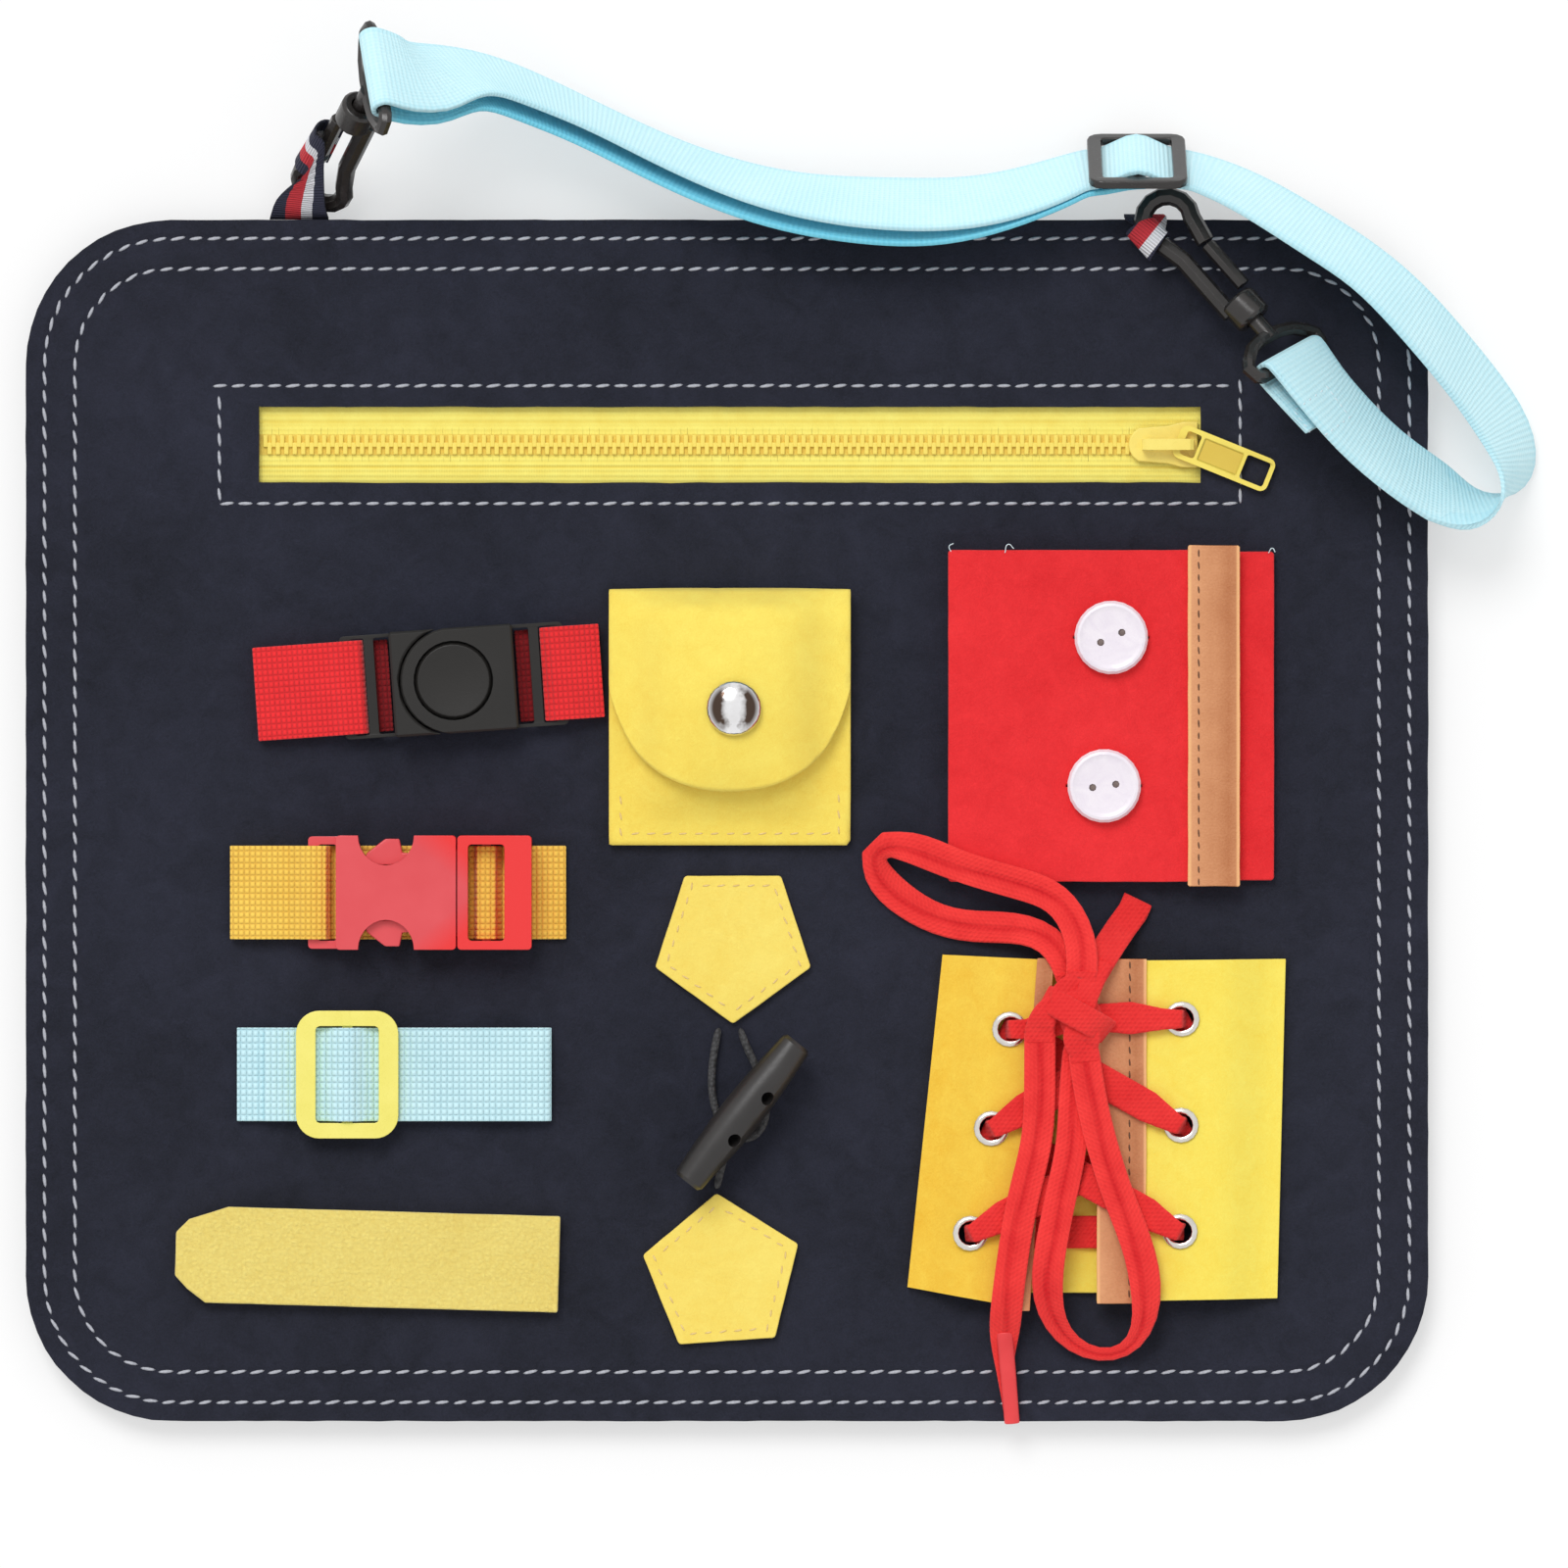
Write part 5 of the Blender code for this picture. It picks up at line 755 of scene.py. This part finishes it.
red_felt = felt("red_felt", seen(248, 54, 58), seen(220, 34, 40), 0.0010, 0.00025)
cut("under_flap", "button_flap_under", red_felt, 0.0004)
made = waver(flat_faces(solid_of("button_flap_over")), 0.00008, 0.003)
for corner in made.verts:
    for x, y in button_places:
        if abs(corner.co.x - x) < slit_reach and abs(corner.co.y - y) < slit_half:
            corner.co.y = y + (corner.co.y - y) * slit_closed
            corner.co.x = x + (corner.co.x - x) * slit_drawn
over_flap = finished("over_flap", round_edges(made, 0.0004), red_felt, None, ["button_flap_over"])
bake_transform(over_flap)


def leather(node):
    """Tan edging, paler towards its left side, with painted shade just inside its folded right edge and a
    painted highlight along both edges.
    """
    hide = Finish("tan_" + node, roughness=0.5)
    spot = hide.place()
    low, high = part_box(node)
    share = (hide.parts(spot)[0] - low[0]) / (high[0] - low[0])
    pores = hide.grain(spot, 0.0005, 3)
    shade = (hide.grain(spot, 0.008, 4) - 0.5) * 0.7 + (pores - 0.5) * 0.5 + 0.5
    # Painted shade on the curve of the fold, just inside the right edge.
    fold_shade = (1 - (share - 0.78).size() / 0.25).clipped()
    shade = shade + (0.45 - share).clipped() - fold_shade * 0.35
    flesh = hide.mix(shade.clipped(), seen(176, 104, 56), seen(222, 156, 108))
    # Painted highlight: a pale line along both edges.
    rim = (((share - 0.5).size() - 0.42) / 0.04).clipped()
    hide.tint(rim, flesh, seen(240, 180, 122))
    hide.relief(pores, 0.00012)
    return hide


thread_brown = thread("brown_thread", seen(72, 44, 28), seen(116, 76, 48))
cut("over_flap_edging", "button_flap_binding", leather("button_flap_binding"), 0.00025,
    "button_flap", 0.00012)
sew("edging_stitches", [(tan_row_x, panel_top_y, tan_top), (tan_row_x, panel_low_y, tan_top)], thread_brown,
    "button_flap", *edging_stitch, slant=4)
thread_button = thread("button_thread", seen(84, 70, 66), seen(140, 124, 118), 0.0004, 0.7)
pearl = Finish("pearl", roughness=0.25)
pearl_spot = pearl.place()
pearl_cloud = pearl.grain(pearl_spot, 0.006, 4, 0.6, 2.0)
pearl.tint(pearl_cloud, seen(226, 216, 230), seen(250, 244, 248))
pearl.worn(pearl_spot, 0.002, 0.2, 0.27)
pearl.relief(pearl_cloud, 0.00005, 0.5)
for name in ("upper_button", "lower_button"):
    moulded(name, pearl, 0.0002)
for number, (x, y) in enumerate(button_holes):
    knot = bmesh.new()
    bmesh.ops.create_icosphere(knot, subdivisions=3, radius=1)
    bmesh.ops.scale(knot, verts=knot.verts, vec=hole_thread)
    bmesh.ops.translate(knot, verts=knot.verts, vec=(x, y, hole_thread_z))
    finished("button_thread_" + str(number), knot, thread_button, even=False)

# Lacing panel: two flaps of yellow felt over a tongue, sewn at their outer edges and bound in
# tan where they meet, with three nickel eyelets in each.

lacing_row = ((0.0861, -0.0296, 0.0128), (0.0859, -0.1030, 0.0128))

lace_felt = felt("lacing_felt", seen(255, 240, 112), seen(250, 218, 76))
# Painted shade: the left flap is the same felt as the right one, in a darker, more orange copy for the shade
# it lies in.
shaded_lacing_felt = felt("lacing_felt_shaded", seen(252, 216, 84), seen(240, 184, 50))
cut("tongue", "lacing_tongue", lace_felt, 0.0003)
for side, cloth in (("left", shaded_lacing_felt), ("right", lace_felt)):
    strap_piece("lacing_" + side, "lacing_flap_" + side, cloth, "board", 0.00035)
    binding = "lacing_binding_" + side
    cut("lacing_edging_" + side, binding, leather(binding), 0.00018, run=0.0001)
sew("lacing_stitches", lacing_row, thread_brown, "board", *edging_stitch, slant=4)
nickel = Finish("nickel", roughness=0.22, metallic=1.0)
nickel_spot = nickel.place()
nickel.tint(nickel.grain(nickel_spot, 0.003), seen(190, 184, 176), seen(230, 226, 220))
nickel.worn(nickel_spot, 0.001, 0.2, 0.24)
for side in ("left", "right"):
    for row in ("top", "middle", "bottom"):
        moulded(side + "_" + row + "_eyelet", nickel, 0.00015)

# Lace: one flat red lace, threaded through the eyelets and tied in a bow with two long loops
# and two ends, one of them with its tip pressed into a tag.

lace_width = 0.0068
lace_swell = 1.2
lace_cell = 0.0011
lace_even = 3
low_share = 0.44
loop_foot = (-0.1165, -0.1020)
crease_width = 0.0010
tag_size = (0.0036, 0.0019)
knot_place = Vector((0.0755, -0.0420, 0.0165))
knot_reach = (0.0060, 0.0070)
knot_floor = 0.0138
knot_core = 0.82
end_start = (0.0762, -0.0370)
end_way = Vector((0.0114, 0.0219, 0)).normalized()
end_wide = 1.65
strand_thick = 0.0013
knot_strands = (
    ("loop_in", "lace_loop_left", 1, ((0.0718, -0.0380, 0.0182), (0.0735, -0.0408, 0.0186))),
    ("loop_out", "lace_loop_left", 2, ((0.0750, -0.0372, 0.0186), (0.0750, -0.0412, 0.0190))),
    ("tail_out", "lace_tail_lower", 1, ((0.0674, -0.0424, 0.0177), (0.0688, -0.0402, 0.0180),
                                        (0.0712, -0.0388, 0.0176))),
    ("lower_in", "lace_loop_lower", 1, ((0.0746, -0.0462, 0.0184), (0.0751, -0.0424, 0.0189))),
    ("lower_out", "lace_loop_lower", 2, ((0.0768, -0.0462, 0.0185), (0.0762, -0.0424, 0.0189))),
    ("end_in", None, 1, ((0.0797, -0.0300, 0.0154), (0.0780, -0.0342, 0.0172), (0.0768, -0.0379, 0.0190),
                         (0.0760, -0.0410, 0.0190))),
    ("wrap", None, 1, ((0.0680, -0.0378, 0.0158), (0.0700, -0.0389, 0.0184), (0.0727, -0.0404, 0.0198),
                       (0.0757, -0.0420, 0.0202), (0.0785, -0.0435, 0.0194), (0.0805, -0.0447, 0.0170),
                       (0.0810, -0.0451, 0.0148))),
)
strand_width = 0.0058
strand_back = 0.0020
strand_lift = Vector((0, 0, 0.00003))
strand_pinch = 0.72
first_side = (1, 0.3, 0.1)
strand_form = {"twist_mode": "Z_UP", "extrude": (strand_width - strand_thick) / 2,
               "bevel_depth": strand_thick / 2, "bevel_resolution": 4, "resolution_u": 10,
               "use_fill_caps": True}


def drawn(name, route, finish, form, shares=None, tilt=0.0):
    """A strand or a thread on the board, drawn through these places."""
    shape = bpy.data.curves.new(name, "CURVE")
    shape.dimensions = "3D"
    for setting, value in form.items():
        setattr(shape, setting, value)
    bends = shape.splines.new("BEZIER").bezier_points
    bends.add(len(route) - 1)
    for index, place in enumerate(route):
        bends[index].co = place
        bends[index].radius = shares[index] if shares else 1
        bends[index].handle_left_type = "AUTO"
        bends[index].handle_right_type = "AUTO"
        bends[index].tilt = tilt
    shape.materials.append(finish.material)
    piece = placed(name, shape)
    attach(piece, "board")
    return piece


def level_patch(face):
    """The faces that go on from this one with no sharp edge between."""
    found = {face}
    waiting = [face]
    while waiting:
        for edge in waiting.pop().edges:
            if edge.is_manifold and edge.calc_face_angle() < math.radians(30):
                fresh = set(edge.link_faces) - found
                found |= fresh
                waiting += fresh
    return found


def in_order(corners):
    return sorted(corners, key=lambda corner: corner.index)


def rings_of(made, start):
    """The rows of corners round a strip, from the end that is nearest to a place."""
    made.verts.index_update()
    ends = [corner for corner in made.verts if len(corner.link_edges) == 3]
    first = min(ends, key=lambda corner: (corner.co - Vector(start)).length)
    patches = [level_patch(face) for face in first.link_faces]
    cap = min(patches, key=lambda patch: sum(face.calc_area() for face in patch))
    rings = [in_order({corner for face in cap for corner in face.verts})]
    passed = set(rings[0])
    while True:
        ahead = {edge.other_vert(corner) for corner in rings[-1] for edge in corner.link_edges} - passed
        if not ahead:
            return rings
        rings.append(in_order(ahead))
        passed |= ahead


def middle_of(ring):
    return sum((corner.co for corner in ring), Vector()) / len(ring)


def across_of(ring):
    """The direction of a row's width."""
    far = max(((a, b) for a in ring for b in ring), key=lambda pair: (pair[0].co - pair[1].co).length)
    slope = far[1].co - far[0].co
    ordered = sorted(ring, key=lambda corner: corner.co.dot(slope))
    half = len(ring) // 2
    return (middle_of(ordered[half:]) - middle_of(ordered[:half])).normalized()


def relaxed(rings, times, held=(), reach=0.0):
    """Evens a strip out along its length, except close to the fittings that hold it."""
    order = {corner: index for index, ring in enumerate(rings) for corner in ring}
    for push in (0.5, -0.53) * times:
        moved = {}
        for corner, index in order.items():
            beside = [edge.other_vert(corner) for edge in corner.link_edges]
            beside = [other for other in beside if abs(order[other] - index) == 1]
            if len(beside) != 2 or not 0 < index < len(rings) - 1:
                continue
            away = min((((corner.co - place).length - reach) / reach for place in held), default=1)
            free = max(0, min(away, 1)) * push
            moved[corner] = corner.co.lerp((beside[0].co + beside[1].co) / 2, free)
        for corner, place in moved.items():
            corner.co = place


def laid_round(rings, first, places, wide):
    """Lays part of a strip through new places, its width turning evenly between two directions."""
    old = [middle_of(ring) for ring in rings]
    new = list(old)
    for step, place in enumerate(places):
        new[first + step] = Vector(place) + turn_lift
    side = Vector(wide[0])
    for index in range(first, first + len(places)):
        across = across_of(rings[index])
        side = -across if across.dot(side) < 0 else across
        up = (old[index + 1] - old[index - 1]).cross(side).normalized()
        ahead = new[index + 1] - new[index - 1]
        share = (index - first) / (len(places) - 1)
        new_side = Vector(wide[0]).lerp(Vector(wide[1]), share)
        new_side = (new_side - ahead * (new_side.dot(ahead) / ahead.length_squared)).normalized()
        new_up = ahead.cross(new_side).normalized()
        for corner in rings[index]:
            out = corner.co - old[index]
            corner.co = new[index] + new_side * out.dot(side) + new_up * out.dot(up)


def lengthwise(made, rings, swell=1.0, on_edge=None):
    """Lays a map in metres on a strip, along it and across it, and returns its middle line."""
    middles = [middle_of(ring) for ring in rings]
    spots = {}
    travelled = 0
    side = Vector(first_side)
    for index, ring in enumerate(rings):
        travelled += (middles[index] - middles[max(index - 1, 0)]).length
        across = across_of(ring)
        side = -across if across.dot(side) < 0 else across
        wide = swell
        if on_edge:
            low, high = on_edge
            wide = low_share + (swell - low_share) * max(0, min((middles[index].y - low) / (high - low), 1))
        for corner in ring:
            out = (corner.co - middles[index]).dot(side)
            corner.co += side * out * (wide - 1)
            spots[corner] = (travelled, out * swell)
    chart = made.loops.layers.uv.new("UVMap")
    for face in made.faces:
        for loop in face.loops:
            loop[chart].uv = spots.get(loop.vert, (0, 0))
    return middles


def route_length(points):
    return sum((end - start).length for start, end in zip(points, points[1:]))


def flat_braid(name, kind):
    """A flat woven lace: fine slanting yarns that meet in the middle."""
    cloth = Finish(name, roughness=0.85, specular_ior_level=0.2, sheen_weight=0.1)
    spot = cloth.place(0, kind)
    x, y, z = cloth.parts(spot)
    out = y.size()
    slant = x + out * 0.8
    yarns = slant.ripple(lace_cell)
    rows = y.ripple(0.0009)
    fuzz = cloth.grain(cloth.place(), 0.0006, 4, 0.7, 1.0)
    patch = cloth.grain(cloth.place(), 0.008)
    shade = yarns * 0.05 + rows * 0.04 + (fuzz - 0.5) * 0.6 + (patch - 0.5) * 0.8 + 0.55
    height = yarns * 0.15 + rows * 0.15 + fuzz * 0.6
    if kind == "UV":
        # Painted highlight and shade: the mapped lace is lighter towards both edges and darker along its
        # wandering middle crease. The crease is also sunk in the bump.
        wander = (cloth.grain(spot, 0.03, 1) - 0.5) * 0.0050
        crease_and_shade = (1 - (y + wander).size() / crease_width).clipped()
        shade = shade + out / lace_width * 0.5 - crease_and_shade * 0.35
        height = height - crease_and_shade * 0.8
    cloth.tint(shade.clipped(), seen(204, 18, 28), seen(255, 66, 62))
    cloth.relief(height, 0.00022)
    return cloth


lace_cloth = flat_braid("lace_braid", "UV")
lace_tag = enamel("lace_tag", seen(246, 74, 76), seen(212, 44, 48), 0.4)
free_laces = (
    ("lace_loop_left", (0.0738, -0.0342, 0.0142), "object"),
    ("lace_loop_lower", (0.0750, -0.0494, 0.0156), "object"),
    ("lace_tail_lower", (0.0668, -0.0452, 0.0166), "fitting"),
)
lace_ends = {}
for name, start, end in free_laces:
    made = whole_quads(solid_of(name))
    foot = loop_foot if name == "lace_loop_lower" else None
    rings = rings_of(made, start)
    relaxed(rings, lace_even)
    middles = lengthwise(made, rings, lace_swell, foot)
    lace_ends[name] = (middles[1], middles[0], middles[-1], middles[-2])
    round_edges(made, 0.00045, 2, 50)
    lace = finished(name.replace("lace_", "bow_"), made, lace_cloth, replaces=[name])
    softened(lace, 1)
    if end == "fitting":
        low, high = middles[-1], middles[-5]
        tag = bmesh.new()
        bmesh.ops.create_cone(tag, cap_ends=True, segments=20, radius1=1, radius2=0.9, depth=1)
        bmesh.ops.subdivide_edges(tag, edges=[e for e in tag.edges if e.calc_length() > 0.9], cuts=8)
        bmesh.ops.scale(tag, verts=tag.verts, vec=(tag_size[0] / 2, tag_size[1] / 2, (high - low).length))
        facing = (low - high).to_track_quat("Z", "Y").to_matrix().to_4x4()
        bmesh.ops.transform(tag, verts=tag.verts, matrix=Matrix.Translation((low + high) / 2) @ facing)
        round_edges(tag, 0.0003)
        finished("lace_tag", tag, lace_tag)
    route_length(middles)
knotted = flat_braid("knot_braid", "Object")
made = solid_of("lace_crossings")
for corner in made.verts:
    out = corner.co - knot_place
    if corner.co.z > knot_floor and abs(out.x) < knot_reach[0] and abs(out.y) < knot_reach[1]:
        corner.co = knot_place + out * knot_core
    past = Vector((corner.co.x - end_start[0], corner.co.y - end_start[1], 0))
    run = past.dot(end_way)
    aside = past - end_way * run
    if run > 0 and aside.length < lace_width / 2:
        corner.co += aside * (end_wide - 1) * min(run / 0.004, 1)
crossed = finished("lace_threading", made, knotted, replaces=["lace_crossings"], even=False)
voxel = crossed.modifiers.new("Even", "REMESH")
voxel.mode = "VOXEL"
voxel.voxel_size = 0.00035
voxel.use_smooth_shade = True
relax = crossed.modifiers.new("Soft", "SMOOTH")
relax.factor = 0.5
relax.iterations = 4
for label, cord, end, route in knot_strands:
    pinch = [1 if label == "wrap" else 1 - (1 - strand_pinch) * step / (len(route) - 1)
             for step in range(len(route))]
    if cord:
        tip = lace_ends[cord][end]
        beyond = lace_ends[cord][0 if end == 1 else 3]
        back = (beyond - tip).normalized() * strand_back
        route = (tip + back + strand_lift, tip + strand_lift, *route)
        pinch = [1.12, 1.12, *pinch]
    bunch = drawn("knot_" + label, route, knotted, strand_form, pinch, math.pi / 2)

# Ribbon loops: navy, red and white striped ribbon, sewn into the top edge and passed over an
# arm of each snap hook.

stripe_edges = (0.26, 0.53, 0.72)
stripe_turn = 38.5
stripe_place = -0.0142
stripe_navy = seen(36, 38, 62)
stripe_red = seen(214, 48, 60)
stripe_white = seen(240, 240, 246)
for side, width in (("left", 0.0126), ("right", 0.0134)):
    striped = Finish("striped_ribbon_" + side, roughness=0.75)
    if side == "left":
        run, over, none = striped.parts(striped.place(0, "UV"))
        share = over / width + 0.5
    else:
        over, run, none = striped.parts(striped.place(stripe_turn))
        share = (over - stripe_place) / width
    tint = striped.mix(share.above(stripe_edges[0]), stripe_navy, stripe_red)
    tint = striped.mix(share.above(stripe_edges[1]), tint, stripe_white)
    tint = striped.mix(share.above(stripe_edges[2]), tint, stripe_navy)
    rib = run.ripple(0.0006)
    striped.tint((rib * 0.5 + 0.5) * 0.25, tint, (0, 0, 0, 1))
    striped.relief(rib, 0.00012)
    made = whole_quads(solid_of("ribbon_loop_" + side))
    if side == "left":
        lengthwise(made, rings_of(made, (-0.0916, 0.1285, 0.0035)))
    finished("ribbon_" + side, made, striped, replaces=["ribbon_loop_" + side])

# Carry strap: pale blue ribbed webbing, run through a ladder slide and sewn round the wire
# ring of a swivelling snap hook at each end. Hooks, gates and rings are glossy dark plastic.

box_middle = Vector((0.1268, 0.0866, 0))
box_across = Vector((0.0036, 0.0026, 0))
box_along = Vector((-0.0024, 0.0032, 0))
strap_rib = 0.0011
strap_warp = 0.0009
strap_half = 0.0100
held_reach = 0.014
strap_even = 8
strap_start = (0.0876, 0.1408, 0.013)
twist_reach = (0.006, 0.036)
turn_first = 79
turn_lift = Vector((0, 0, 0.0012))
turn_places = (
    (0.1432, 0.1118, 0.0166), (0.1476, 0.1072, 0.0158), (0.1518, 0.1026, 0.0142), (0.1558, 0.0979, 0.0120),
    (0.1596, 0.0931, 0.0102), (0.1632, 0.0882, 0.0094), (0.1664, 0.0832, 0.0092), (0.1686, 0.0782, 0.0092),
    (0.1688, 0.0736, 0.0092), (0.1671, 0.0701, 0.0092), (0.1643, 0.0681, 0.0092), (0.1611, 0.0673, 0.0094),
    (0.1577, 0.0677, 0.0100), (0.1541, 0.0691, 0.0112), (0.1502, 0.0712, 0.0130), (0.1459, 0.0739, 0.0148),
    (0.1411, 0.0775, 0.0162), (0.1362, 0.0818, 0.0174), (0.1314, 0.0867, 0.0188), (0.1262, 0.0928, 0.0200),
)
turn_wide = ((-0.0076, -0.0080, 0.0167), (-0.0108, -0.0059, 0.0158))
strap_cloth = Finish("carry_webbing", roughness=0.75, specular_ior_level=0.25)
run, over, none = strap_cloth.parts(strap_cloth.place(0, "UV"))
rib = run.ripple(strap_rib)
warp = over.ripple(strap_warp)
yarn = strap_cloth.grain(strap_cloth.place(), 0.0005, 3)
soft_patch = strap_cloth.grain(strap_cloth.place(), 0.02, 3)
selvedge = ((over.size() - strap_half + 0.0014) / 0.0004).clipped()
shade = rib * 0.06 + warp * 0.04 + (yarn - 0.5) * 0.3 + (soft_patch - 0.5) * 0.3 + 0.62 - selvedge * 0.12
strap_cloth.relief(rib * 0.5 + warp * 0.3 + yarn * 0.2, 0.00010)
made = whole_quads(solid_of("carry_strap"))
rings = rings_of(made, strap_start)
laid_round(rings, turn_first, turn_places, turn_wide)
fittings = [sum((Vector(corner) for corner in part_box(name)), Vector()) / 2
            for name in ("swivel_ring_left", "swivel_ring_right", "strap_slide")]
relaxed(rings, strap_even, fittings, held_reach)
middles = lengthwise(made, rings)
round_edges(made, 0.0003, 2, 60)
back_at = min(range(len(middles)), key=lambda index: (middles[index] - fittings[0]).length)
back_run = route_length(middles[:back_at + 1])
# Painted shade: the strap's returning layer, up to where it goes round the left hook's ring, is tinted a
# deeper cyan than the layer over it.
shaded_return_share = ((back_run - run) / 0.004).clipped()
fresh = strap_cloth.mix(shade.clipped(), seen(150, 218, 236), seen(226, 252, 255))
shaded_return_blue = strap_cloth.mix(shade.clipped(), seen(84, 190, 222), seen(150, 232, 250))
strap_cloth.tint(shaded_return_share, fresh, shaded_return_blue)
carry = finished("carry_webbing", made, strap_cloth, None, ["carry_strap"])
softened(carry, 1)
twist_way = (next(spot for spot in middles[back_at:] if (spot - middles[back_at]).length > twist_reach[1])
             - middles[back_at]).normalized()
twist = [tuple(middles[back_at] + twist_way * far) for far in twist_reach]
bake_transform(carry)
corners = [box_middle + box_across * side + box_along * up
           for side, up in ((-1, -1), (1, -1), (1, 1), (-1, 1))]
thread_white = enamel("white_thread", seen(236, 246, 250), seen(196, 222, 230), 0.6)
sew("strap_box_stitches", corners, thread_white, "board", 0.0016, 0.0012, 0.0004, True, surface_of(carry))
hook_black = enamel("hook_plastic", seen(50, 46, 44), seen(22, 20, 20), 0.24, 0.01, swing=0.2, pits=0.0007,
                    depth=0.00004)
for side in ("left", "right"):
    for name in ("snap_hook_", "hook_gate_", "swivel_ring_"):
        moulded(name + side, hook_black, 0.0002)
moulded("strap_slide", hook_black, 0.0004)

# Stray threads: a few ends of white sewing thread stand out at the button panel's top edge.
# They are thinner than the stitches and lie almost flat.

stray_form = {"bevel_depth": 0.0001, "bevel_resolution": 2}
strays = (
    ("panel_left", ((0.0479, 0.0574, 0.0108), (0.0475, 0.0586, 0.0110), (0.0484, 0.0592, 0.0108))),
    ("panel_middle", ((0.0594, 0.0572, 0.0110), (0.0601, 0.0590, 0.0111), (0.0613, 0.0581, 0.0110))),
    ("panel_right", ((0.1158, 0.0572, 0.0088), (0.1166, 0.0582, 0.0090), (0.1172, 0.0574, 0.0089))),
)
for label, route in strays:
    drawn("stray_" + label, route, thread_white, stray_form)
